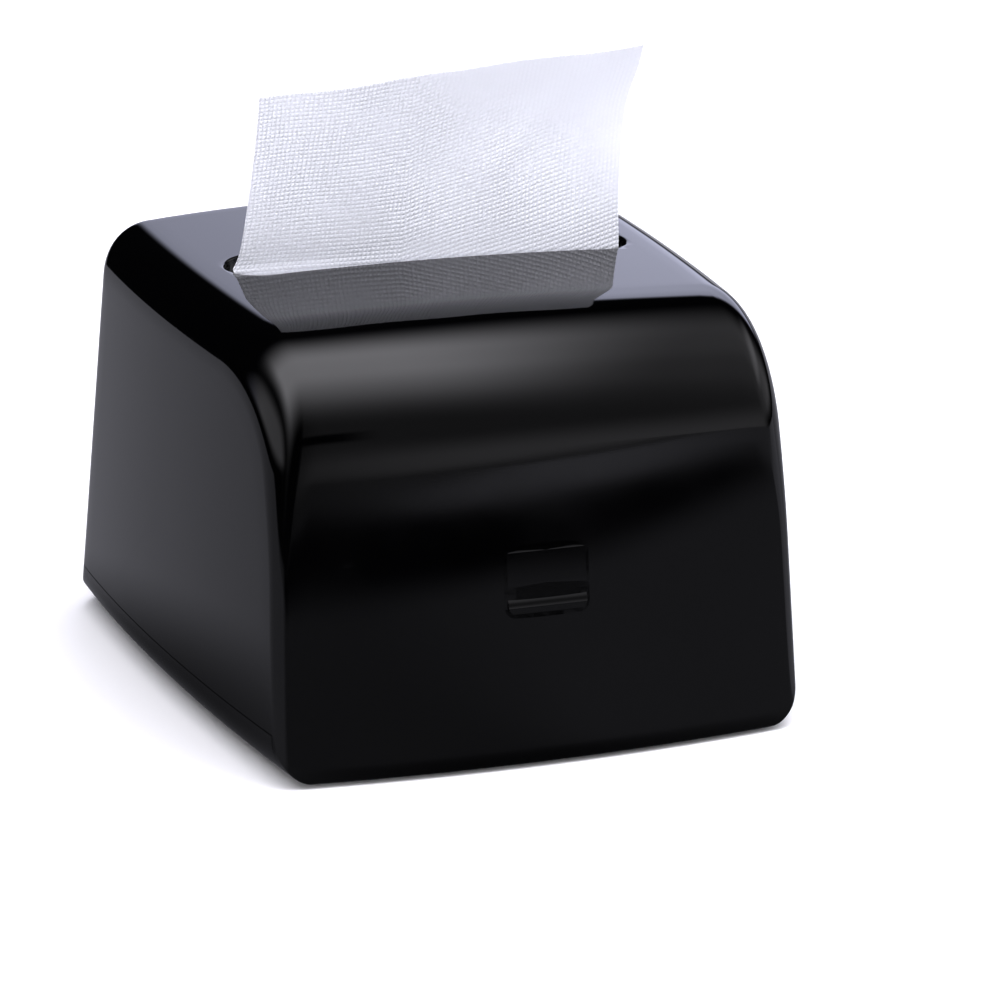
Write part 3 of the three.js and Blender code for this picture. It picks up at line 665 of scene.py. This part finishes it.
combine(tray, "DIFFERENCE", *hinge_cuts(KNUCKLE_LENGTH / 2, KNUCKLE_RADIUS + GAP))
tray_black = plastic(
    "tray_black", dark=(0.0008, 0.0008, 0.001), light=(0.0018, 0.0018, 0.002), roughness=0.08,
    grain_scale=1600, grain_depth=0.000004, flow_depth=0.000008, scuff=0.06,
)
dress(tray, tray_black)
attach(tray, "base")
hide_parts("base_tray")

# ---- Latch tab ------------------------------------------------------------------------------
# The pull tab in the front wall, moulded in the cover's gloss black. Its flat face turns in to a
# finger crease near the bottom and out to a lip, and an arm behind it hooks under the catch.
EAR_NEAR = 0.0095
EAR_FAR = 0.0125
EAR_ROOT = 0.0018
EYE_RADIUS = 0.002
PIVOT_BORE_HALF = 0.015
COIL_ROOM = 0.006
HOOK_HALF_WIDTH = 0.005
HOOK_BACK = 0.0087
HOOK_TIP = 0.0105
tab_low = -LATCH_HALF_HEIGHT
tab_high = LATCH_TOP


def curve_through(points, steps=6):
    """A smooth outline stretch: quadratic curves between the middles of a few guide points."""
    made = []
    for a, b, c in zip(points, points[1:], points[2:]):
        first = [(p + q) / 2 for p, q in zip(a, b)]
        last = [(p + q) / 2 for p, q in zip(b, c)]
        for k in range(steps):
            t = k / steps
            made.append(tuple(
                (1 - t) ** 2 * p + 2 * t * (1 - t) * q + t * t * r for p, q, r in zip(first, b, last)
            ))
    return made


upper_face = [(0.0014, 0), (0.0004, 0), (0, -0.0005), (0, -0.002), (0, -0.006)]
crease_and_lip = [
    (0, 0.0098), (0, 0.0088), (0.0002, 0.0079), (0.0006, 0.007), (0.00065, 0.0062), (0.0004, 0.0053),
    (0, 0.0045), (-0.0004, 0.0036), (-0.0006, 0.0026), (-0.0006, 0.0014), (-0.0006, 0.0006),
    (-0.0005, 0.0001), (-0.0002, 0), (0.0006, 0),
]
face_line = [(s, tab_high + u) for s, u in upper_face] + [(s, tab_low + u) for s, u in crease_and_lip]
back_line = [(0.0032, tab_low), (0.0032, tab_low + 0.007), (0.0022, tab_low + 0.0086)]
back_line += [(0.0022, tab_high - 0.0004), (0.0016, tab_high)]
tab_outline = curve_through(face_line) + back_line
tab = prism("latch_button", tab_outline, "X", -LATCH_HALF_WIDTH, LATCH_HALF_WIDTH)
shape = prism("tab_shape", latch_outline(0), "Y", -0.004, 0.006)
combine(tab, "INTERSECT", shape)
soften = tab.modifiers.new("edges", "BEVEL")
soften.width = 0.0003
soften.segments = 3
soften.limit_method = "ANGLE"
soften.angle_limit = math.radians(50)
select_only(tab)
bpy.ops.object.modifier_apply(modifier=soften.name)
for side in (-1, 1):
    near, far = sorted((side * EAR_NEAR, side * EAR_FAR))
    ear = block((near, EAR_ROOT, PIVOT_U - EYE_RADIUS), (far, PIVOT_S, PIVOT_U + 0.0016))
    eye = rod(EYE_RADIUS, (near, PIVOT_S, PIVOT_U), (far, PIVOT_S, PIVOT_U))
    combine(tab, "UNION", ear, eye)
bore = rod(PIVOT_BORE, (-PIVOT_BORE_HALF, PIVOT_S, PIVOT_U), (PIVOT_BORE_HALF, PIVOT_S, PIVOT_U))
coil_room = block((-COIL_ROOM, 0.0014, PIVOT_U - 0.0026), (COIL_ROOM, 0.004, PIVOT_U + 0.003))
combine(tab, "DIFFERENCE", bore, coil_room)
# The hook is an arm straight back, a drop down behind the catch and a toe under it.
for start, end, bottom, top in (
    (0.0028, HOOK_BACK, 0.0024, 0.0048),
    (0.0065, HOOK_BACK, -0.0046, 0.0048),
    (0.0084, HOOK_TIP, -0.0046, -0.0022),
):
    limb = block((-HOOK_HALF_WIDTH, start, tab_low + bottom), (HOOK_HALF_WIDTH, end, tab_low + top))
    combine(tab, "UNION", limb)
reshape(tab, on_front)
dress(tab, gloss_black, 35)
even = tab.modifiers.new("even", "WEIGHTED_NORMAL")
even.keep_sharp = True
select_only(tab)
bpy.ops.object.modifier_apply(modifier=even.name)
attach(tab, "latch")
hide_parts("latch_tab")

# ---- Standing napkin ------------------------------------------------------------------------
# The leading panel of the top napkin, drawn up through the slot: one ply of white tissue with an
# embossed waffle and a perforated top edge. It leans forward, and its right corner curls over.
NAPKIN_WIDTH = 0.127
SHEET_BOTTOM = 0.1256
SLOT_TOP = 0.134
ACROSS = 250
UP = 136
TOP_MIDDLE = 0.1955
TOP_RISE = 0.074
SHEET_PLY = 0.00012
TOOTH = 0.00022
RAGGED = 0.00012
LEFT_LEAN = 0.265
RIGHT_LEAN = 0.06
CURL_START = 0.034
CURL = 5.5
BELLY = 0.0016
FOLD = 0.0009
CREASE = 0.0005


def sheet_point(u, v):
    """The sheet's surface: u from -1 at the left to 1 at the right, v from 0 at its foot to 1."""
    x = u * NAPKIN_WIDTH / 2
    top = TOP_MIDDLE + TOP_RISE * x + 0.0003 * math.sin(5 * u + 1)
    z = SHEET_BOTTOM + (top - SHEET_BOTTOM) * v
    rise = z - SLOT_TOP
    right = (u + 1) / 2
    left_y = 0.0112 - LEFT_LEAN * max(rise, 0) + 0.0004 * math.exp(-(rise / 0.006) ** 2)
    curl = max(rise - CURL_START, 0)
    right_y = 0.0082 - RIGHT_LEAN * max(rise, 0) - CURL * curl**2
    share = ease(right, 0.05, 0.95)
    y = left_y + (right_y - left_y) * share
    belly = BELLY * math.sin(math.pi * right) * math.sin(math.pi * min(max(rise / 0.06, 0), 1))
    fold = FOLD * math.sin(9.5 * u + 3.2 * v + 0.6) * ease(rise, 0.002, 0.03)
    from_crease = ((u - 0.42) * 0.0635 - (rise - 0.036) * 0.9) / 0.007
    crease = CREASE * math.exp(-from_crease**2) * ease(right, 0.5, 0.75) * ease(rise, 0.015, 0.03)
    y += belly + fold - crease
    # The sides draw in a little with height, and the foot spreads where the paper leaves the slot.
    left_draw = 0.0024 * math.exp(-max(rise + 0.001, 0) / 0.0035) + 0.0012 * (1 - ease(rise, 0.004, 0.05))
    left_draw *= (1 - right) ** 3
    waist = 0.0016 * math.sin(math.pi * min(max(rise / 0.056, 0), 1)) * right**4
    flick = 0.0022 * ease(rise, 0.045, 0.064) * right**5
    foot = ease(-rise, 0.0, 0.008)
    x += -left_draw * (1 - foot) - waist + flick
    y = y * (1 - 0.1 * foot) + 0.0006 * foot
    return Vector((x, y + CASING_Y, z))


bpy.ops.object.select_all(action="DESELECT")
bpy.ops.mesh.primitive_grid_add(x_subdivisions=ACROSS, y_subdivisions=UP, size=2)
sheet = bpy.context.object
sheet.name = "standing_napkin"
sheet.data.uv_layers[0].name = "sheet_map"
torn = random.Random(7)


def sheet_vertex(point):
    u, v = point.x, (point.y + 1) / 2
    place = sheet_point(u, v)
    if v > 0.999:
        column = round((u + 1) / 2 * ACROSS)
        place.z += TOOTH * (1 if column % 2 else -1) + torn.uniform(-RAGGED, RAGGED)
    return place


reshape(sheet, sheet_vertex)
ply = sheet.modifiers.new("ply", "SOLIDIFY")
ply.thickness = SHEET_PLY
ply.offset = 0
select_only(sheet)
bpy.ops.object.modifier_apply(modifier=ply.name)

tissue, nodes, links = node_material("embossed_tissue")
shader = nodes["Principled BSDF"]
shader.inputs["Roughness"].default_value = 0.9
shader.inputs["Subsurface Weight"].default_value = 0.12
shader.inputs["Subsurface Radius"].default_value = (0.002, 0.002, 0.0022)
shader.inputs["Subsurface Scale"].default_value = 1.0
shader.inputs["Sheen Weight"].default_value = 0.1
uv_node = nodes.new("ShaderNodeUVMap")
uv_node.uv_map = "sheet_map"
uv = uv_node.outputs["UV"]
wander = nodes.new("ShaderNodeTexNoise")
wander.inputs["Scale"].default_value = 3.0
wander.inputs["Detail"].default_value = 2
links.new(uv, wander.inputs["Vector"])
shift = vector_arithmetic(nodes, links, "MULTIPLY_ADD", wander.outputs["Color"], (0.012, 0.022, 0), uv)
# Over the right half the rows slant up, as the pulled paper does.
slant = nodes.new("ShaderNodeCombineXYZ")
slope = remap(nodes, links, parted(nodes, links, shift)["X"], 0.42, 1, 0, -0.27)
links.new(slope, slant.inputs["Y"])
slanted = vector_arithmetic(nodes, links, "ADD", shift, slant.outputs["Vector"])
CELL = 0.00146
PATTERN_HEIGHT = 0.072
counts = (NAPKIN_WIDTH / CELL * math.pi, PATTERN_HEIGHT / CELL * math.pi, 0)
cells = vector_arithmetic(nodes, links, "MULTIPLY", slanted, counts)
wave = parted(nodes, links, vector_arithmetic(nodes, links, "SINE", cells))
columns = arithmetic(nodes, links, "ABSOLUTE", wave["X"])
rows = remap(nodes, links, arithmetic(nodes, links, "ABSOLUTE", wave["Y"]), 0, 1, 0.15, 1)
raised = arithmetic(nodes, links, "MULTIPLY", columns, rows)
# The waffle fades where the paper has been handled, and most toward the upper right corner.
handled = remap(nodes, links, noise(nodes, links, 38, 2), 0.35, 0.6, 0.45, 1)
corner = vector_arithmetic(nodes, links, "DOT_PRODUCT", uv, (0.75, 0.66, 0), result="Value")
pressed = arithmetic(nodes, links, "MULTIPLY", remap(nodes, links, corner, 0.86, 1.1, 1, 0.2), handled)
embossed = arithmetic(nodes, links, "MULTIPLY", raised, pressed)
fibre = relief(nodes, links, noise(nodes, links, 5200, 3), 0.00003)
links.new(relief(nodes, links, embossed, 0.00032, fibre), shader.inputs["Normal"])
# Painted shade: the colour is darker in the waffle's hollows and lighter on its raised cells.
hollow_shaded_tone = two_tone(nodes, links, embossed, (0.79, 0.8, 0.87), (0.87, 0.88, 0.945))
# Painted shade: the ply's colour darkens from its foot toward its torn top edge.
painted_top_shade = remap(nodes, links, parted(nodes, links, uv)["Y"], 0, 1, 1.04, 0.8)
top_shaded_tone = vector_arithmetic(nodes, links, "SCALE", hollow_shaded_tone, None, None, painted_top_shade)
links.new(top_shaded_tone, shader.inputs["Base Color"])
dress(sheet, tissue, 60)
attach(sheet, "sheet")
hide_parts("napkin_sheet")

# ---- Napkin pile ----------------------------------------------------------------------------
# Forty-eight folded napkins lie in the magazine, each with its round fold at the front or the
# back in turn, cut edges at the other side, and none quite square on the next.
PILE_COUNT = 48
TRIM = 0.0009
FOLDED_SHARE = 0.94
TURN_PLAY = 0.004
SLIDE_PLAY = 0.0005
DOT_PITCH = 0.00175
pile_height = pile_high.z - pile_low.z
layer = pile_height / PILE_COUNT
pile_middle = (pile_low + pile_high) / 2
half_x = (pile_high.x - pile_low.x) / 2 - TRIM
half_y = (pile_high.y - pile_low.y) / 2 - TRIM
thick = layer * FOLDED_SHARE
squaring = random.Random(21)
layers = []
for k in range(PILE_COUNT):
    bpy.ops.object.select_all(action="DESELECT")
    fold = -1 if k % 2 else 1
    outline = [(fold * half_y * t, thick * h) for t, h in (
        (-1, 0), (-0.5, 0), (0, 0), (0.5, 0), (0.975, 0), (0.995, 0.22), (1, 0.5), (0.995, 0.78), (0.975, 1),
        (0.5, 1), (0, 1), (-0.5, 1), (-1, 1), (-0.992, 0.75), (-0.998, 0.5), (-0.99, 0.25))]
    folded = prism("folded", outline, "X", -half_x, half_x, 6)
    turn = Matrix.Rotation(squaring.uniform(-TURN_PLAY, TURN_PLAY), 3, "Z")
    slide = Vector((squaring.uniform(-SLIDE_PLAY, SLIDE_PLAY), squaring.uniform(-SLIDE_PLAY, SLIDE_PLAY), 0))
    seat = Vector((pile_middle.x, pile_middle.y, pile_low.z + layer * k)) + slide
    reshape(folded, lambda p: turn @ Vector(p) + seat)
    layers.append(folded)
bpy.ops.object.select_all(action="DESELECT")
for folded in layers:
    folded.select_set(True)
bpy.context.view_layer.objects.active = layers[0]
bpy.ops.object.join()
pile = bpy.context.object
pile.name = "napkin_pile"

pile_tissue, nodes, links = node_material("piled_tissue")
shader = nodes["Principled BSDF"]
shader.inputs["Roughness"].default_value = 0.92
shader.inputs["Sheen Weight"].default_value = 0.1
tone = remap(nodes, links, noise(nodes, links, 300, 3, (1, 1, 6)), 0.3, 0.7, 0, 1)
links.new(two_tone(nodes, links, tone, (0.74, 0.745, 0.78), (0.88, 0.885, 0.91)), shader.inputs["Base Color"])
where = nodes.new("ShaderNodeTexCoord").outputs["Object"]
grid = vector_arithmetic(nodes, links, "SCALE", where, None, None, math.pi / DOT_PITCH)
wave = parted(nodes, links, vector_arithmetic(nodes, links, "SINE", grid))
dots = arithmetic(nodes, links, "MULTIPLY", wave["X"], wave["Y"])
plies = relief(nodes, links, noise(nodes, links, 900, 2, (0.05, 0.05, 6)), 0.00012)
links.new(relief(nodes, links, dots, 0.0002, plies), shader.inputs["Normal"])
dress(pile, pile_tissue, 40)
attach(pile, "plate")
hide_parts("napkin_stack")

# ---- Lift springs ---------------------------------------------------------------------------
# Two coils of drawn spring wire stand over the tray's posts and push the pressure plate up.
# Each is wound seven times, and its end turns are closed up to lie flat.
WIRE = 0.0008
COIL_RADIUS = 0.0072
TURNS = 7
PER_TURN = 40
SIDES = 10


def metal(name, dark, light, roughness, brush):
    """Bare metal: drawn or plated, with fine marks along it and dull patches."""
    material, nodes, links = node_material(name)
    shader = nodes["Principled BSDF"]
    shader.inputs["Metallic"].default_value = 1
    tone = remap(nodes, links, noise(nodes, links, 160, 4), 0.35, 0.65, 0, 1)
    links.new(two_tone(nodes, links, tone, dark, light), shader.inputs["Base Color"])
    marks = noise(nodes, links, 900, 3, brush)
    polish = remap(nodes, links, marks, 0.3, 0.7, roughness - 0.06, roughness + 0.1)
    links.new(polish, shader.inputs["Roughness"])
    links.new(relief(nodes, links, marks, 0.000006), shader.inputs["Normal"])
    return material


spring_steel = metal("spring_steel", (0.36, 0.36, 0.37), (0.52, 0.52, 0.53), 0.32, (1, 1, 8))
spring_height = spring_high.z - spring_low.z


def coil_centre(t):
    closed = 0.8 / TURNS
    lead = 2.1 * WIRE
    climb = min(max((t - closed) / (1 - 2 * closed), 0), 1)
    ends = min(t / closed, 1) + max((t - 1 + closed) / closed, 0)
    angle = 2 * math.pi * TURNS * t
    z = spring_low.z + WIRE + lead * ends + climb * (spring_height - 2 * WIRE - 2 * lead)
    return Vector((COIL_RADIUS * math.cos(angle), COIL_RADIUS * math.sin(angle), z))


def coil_place(point):
    t = round(point.z) / (TURNS * PER_TURN)
    centre = coil_centre(t)
    outward = Vector((centre.x, centre.y, 0)).normalized()
    return centre + outward * point.x + Vector((0, 0, point.y))


wire_angles = [2 * math.pi * k / SIDES for k in range(SIDES)]
wire_outline = [(WIRE * math.cos(angle), WIRE * math.sin(angle)) for angle in wire_angles]
for name, side in (("left", -1), ("right", 1)):
    spring = prism(f"lift_coil_{name}", wire_outline, "Z", 0, TURNS * PER_TURN, TURNS * PER_TURN)
    reshape(spring, coil_place)
    reshape(spring, lambda p: p + Vector((side * SPRING_X, SPRING_Y, 0)))
    bpy.ops.object.mode_set(mode="EDIT")
    bpy.ops.mesh.select_all(action="SELECT")
    bpy.ops.mesh.normals_make_consistent(inside=False)
    bpy.ops.object.mode_set(mode="OBJECT")
    dress(spring, spring_steel, 50)
    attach(spring, "base")
    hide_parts(f"lift_spring_{name}")
    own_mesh(spring)

# ---- Magazine and pressure plate --------------------------------------------------------------
# The open-topped bay that keeps the napkins square, and the plate that rides in it, are moulded
# in a black plastic with a fine spark texture.
inner_black = plastic(
    "inner_black", dark=(0.008, 0.008, 0.009), light=(0.014, 0.014, 0.015), roughness=0.42,
    grain_scale=1300, grain_depth=0.00003, flow_depth=0.00002, scuff=0.12,
)


def finish_node(name, material):
    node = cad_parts[name]
    node.data.materials.clear()
    node.data.materials.append(material)


for name in ("magazine", "pressure_plate"):
    finish_node(name, inner_black)

# ---- Pins, catch and latch spring ---------------------------------------------------------------
# Drawn steel pins carry the hinges and the latch. The catch is a bent strip of bright steel, held
# by two screws, and a small torsion spring round the latch's pin brings the pulled tab back.
bright_steel = metal("bright_steel", (0.5, 0.51, 0.52), (0.68, 0.69, 0.7), 0.26, (1, 6, 6))
for name in ("latch_pin", "hinge_pin_left", "hinge_pin_right", "catch_plate"):
    finish_node(name, bright_steel)
finish_node("latch_spring", spring_steel)

# ---- Screws ---------------------------------------------------------------------------------
# Zinc-plated pan heads: two hold the catch, and four come up through the tray into the magazine.
screw_steel = metal("screw_steel", (0.42, 0.42, 0.43), (0.58, 0.58, 0.57), 0.36, (1, 1, 1))
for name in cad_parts:
    if "_screw_" in name:
        finish_node(name, screw_steel)

# ---- Feet -----------------------------------------------------------------------------------
# Four round feet of matt black rubber, pressed into seats under the tray.
rubber = plastic(
    "foot_rubber", dark=(0.009, 0.009, 0.009), light=(0.022, 0.021, 0.02), roughness=0.7,
    grain_scale=700, grain_depth=0.00008, flow_depth=0.00003, scuff=0.15,
)
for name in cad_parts:
    if name.startswith("foot_"):
        finish_node(name, rubber)

# ---- Studio ---------------------------------------------------------------------------------
# A pale floor, a soft overhead light, a bright backdrop at the right and a dark room in front.
bpy.ops.object.select_all(action="DESELECT")
bpy.ops.mesh.primitive_plane_add(size=12)
floor = bpy.context.object
floor.name = "floor"
pale, nodes, links = node_material("pale_floor")
shader = nodes["Principled BSDF"]
shader.inputs["Roughness"].default_value = 0.6
floor_tone = two_tone(nodes, links, noise(nodes, links, 4), (0.86, 0.86, 0.87), (0.9, 0.9, 0.91))
links.new(floor_tone, shader.inputs["Base Color"])
floor.data.materials.append(pale)

# A glowing sheet on the floor, hidden from the camera, is a painted reflection that the polished walls
# mirror: dark in front, paler at the sides.
bpy.ops.object.select_all(action="DESELECT")
bpy.ops.mesh.primitive_plane_add(size=12, location=(0, 0, 0.0004))
card = bpy.context.object
card.name = "painted_reflection_sheet"
bpy.ops.object.transform_apply(location=True, rotation=True, scale=True)
painted_reflection, nodes, links = node_material("painted_reflection_sheet")
where = nodes.new("ShaderNodeTexCoord").outputs["Object"]
parts = parted(nodes, links, where)


def soft_step(axis, start, end, low=0, high=1):
    """From low at the start to high at the end, along an axis or another value."""
    step = nodes.new("ShaderNodeMapRange")
    step.interpolation_type = "SMOOTHSTEP"
    flip = start > end
    step.inputs["From Min"].default_value = end if flip else start
    step.inputs["From Max"].default_value = start if flip else end
    step.inputs["To Min"].default_value = high if flip else low
    step.inputs["To Max"].default_value = low if flip else high
    links.new(parts[axis] if isinstance(axis, str) else axis, step.inputs["Value"])
    return step.outputs["Result"]


def patch(strength, *steps):
    """A soft-edged part of the surroundings: where all its steps are high."""
    total = strength
    for step in steps:
        total = arithmetic(nodes, links, "MULTIPLY", total, step)
    return total


ahead = arithmetic(nodes, links, "ABSOLUTE", parts["Y"])
aside = arithmetic(nodes, links, "DIVIDE", parts["X"], ahead)
near = patch(1, soft_step(aside, 0.05, 0.36, 0.27, 0.4), soft_step("Y", -1.75, -1.15))
skew = arithmetic(nodes, links, "MULTIPLY", aside, 3.2)
skewed = arithmetic(nodes, links, "SUBTRACT", parts["Y"], skew)
far = patch(
    1, soft_step(aside, 0.05, 0.42, 0.25, 1.0), soft_step(aside, 0.8, 0.45, 0.55),
    soft_step(skewed, -4.15, -4.6),
)
front = patch(1, arithmetic(nodes, links, "ADD", near, far), soft_step("Y", -0.05, -0.13))
sides = patch(1, soft_step("Y", -0.5, 0.1, 0.3, 0.66), soft_step("Y", -0.13, -0.05))
left = patch(0.36, soft_step(aside, -0.4, -0.9), soft_step("Y", -0.05, -0.13))
# Painted contact shade: the sheet's glow is dimmed close to the casing.
reach = vector_arithmetic(nodes, links, "LENGTH", where, result="Value")
painted_contact_shade = soft_step(reach, 0.1, 0.19, 0.2)
glow = arithmetic(nodes, links, "ADD", front, sides)
glow = arithmetic(nodes, links, "ADD", glow, left)
glow = arithmetic(nodes, links, "MULTIPLY", glow, painted_contact_shade)
shine = nodes.new("ShaderNodeEmission")
shine.inputs["Color"].default_value = (0.9, 0.9, 1, 1)
links.new(glow, shine.inputs["Strength"])
links.new(shine.outputs["Emission"], nodes["Material Output"].inputs["Surface"])
nodes.remove(nodes["Principled BSDF"])
card.data.materials.append(painted_reflection)
# Painted reflection: the sheet glows only toward glossy rays and lights nothing else.
card.visible_camera = False
card.visible_diffuse = False
card.visible_shadow = False
card.visible_transmission = False

world = bpy.data.worlds.new("studio")
bpy.context.scene.world = world
world.use_nodes = True
nodes, links = world.node_tree.nodes, world.node_tree.links
parts = parted(nodes, links, nodes.new("ShaderNodeTexCoord").outputs["Generated"])
overhead = patch(
    4.3, soft_step("Y", -0.85, -0.2), soft_step("Y", 0.5, 0), soft_step("X", 0.52, 0.24, 0.22),
    soft_step("X", -0.8, -0.5), soft_step("Z", 0.0, 0.15),
)
backdrop = patch(
    1.0, soft_step("Y", 0.58, 0.66), soft_step("Z", 0.63, 0.57), soft_step("Z", 0.25, 0.55, 1.8, 2.9),
    soft_step("X", 0.08, 0.2), soft_step("X", 0.2, 0.42, 0.75), soft_step("Z", 0.0, 0.1),
)
dark_gap = patch(1, soft_step("X", 0.19, 0.13), soft_step("Z", 0.3, 0.36), soft_step("Z", 0.46, 0.42))
front_wall = patch(
    0.3, soft_step("Y", -0.35, -0.6), soft_step("X", -0.1, 0.15), soft_step("Z", -0.02, 0),
    arithmetic(nodes, links, "SUBTRACT", 1, dark_gap),
)
horizon = patch(
    0.62, soft_step("Y", -0.5, -0.8), soft_step("X", -0.1, 0.35), soft_step("Z", 0.32, 0),
    soft_step("Z", -0.02, 0),
)
left_panel = patch(1.3, soft_step("X", -0.75, -0.92), soft_step("Z", 0.7, 0.4), soft_step("Z", 0.05, 0.2))
right_panel = patch(0.9, soft_step("X", 0.75, 0.9), soft_step("Z", 0.75, 0.5), soft_step("Z", 0.3, 0.45))
light = overhead
for patch_of_light in (backdrop, front_wall, horizon, left_panel, right_panel, 0.01):
    light = arithmetic(nodes, links, "ADD", light, patch_of_light)
background = nodes["Background"]
cooler = nodes.new("ShaderNodeMix")
cooler.data_type = "RGBA"
cooler.inputs["A"].default_value = (0.96, 0.95, 1, 1)
cooler.inputs["B"].default_value = (0.82, 0.84, 1.03, 1)
links.new(soft_step("Y", 0.35, 0.6), cooler.inputs["Factor"])
links.new(cooler.outputs["Result"], background.inputs["Color"])
links.new(light, background.inputs["Strength"])


def soft_light(name, place, aim, size, power):
    """An area light that lights the floor and the paper, and isn't mirrored in the black."""
    lamp = bpy.data.lights.new(name, "AREA")
    lamp.shape = "SQUARE"
    lamp.size = size
    lamp.energy = power
    body = bpy.data.objects.new(name, lamp)
    bpy.context.collection.objects.link(body)
    body.location = place
    body.rotation_euler = (Vector(aim) - Vector(place)).to_track_quat("-Z", "Y").to_euler()
    body.visible_glossy = False


soft_light("key", (-0.9, -2.1, 0.8), (0, 0, 0.1), 1.4, 36)
soft_light("fill", (1.2, -0.2, 2.1), (0, 0, 0), 2.6, 26)

# The camera stands in front, at the left and a little above.
AZIMUTH = math.radians(22.17)
ELEVATION = math.radians(18.38)
ROLL = math.radians(-1.54)
DISTANCE = 1.2783
ASIDE = 0.01945
AIM_HEIGHT = 0.05435
LENS = 142.14
back = Vector((
    -math.sin(AZIMUTH) * math.cos(ELEVATION),
    -math.cos(AZIMUTH) * math.cos(ELEVATION),
    math.sin(ELEVATION),
))
right = Vector((math.cos(AZIMUTH), -math.sin(AZIMUTH), 0))
down = (-back).cross(right)
across = right * math.cos(ROLL) + down * math.sin(ROLL)
upward = right * math.sin(ROLL) - down * math.cos(ROLL)
camera_data = bpy.data.cameras.new("camera")
camera_data.lens = LENS
camera_data.sensor_width = 36
camera_data.clip_start = 0.05
camera = bpy.data.objects.new("camera", camera_data)
bpy.context.collection.objects.link(camera)
turn = Matrix((across, upward, back)).transposed().to_4x4()
place = back * DISTANCE + right * ASIDE + Vector((0, CASING_Y, AIM_HEIGHT))
camera.matrix_world = Matrix.Translation(place) @ turn
bpy.context.scene.camera = camera
bpy.context.scene.view_settings.view_transform = "Standard"
bpy.context.scene.view_settings.gamma = 0.8
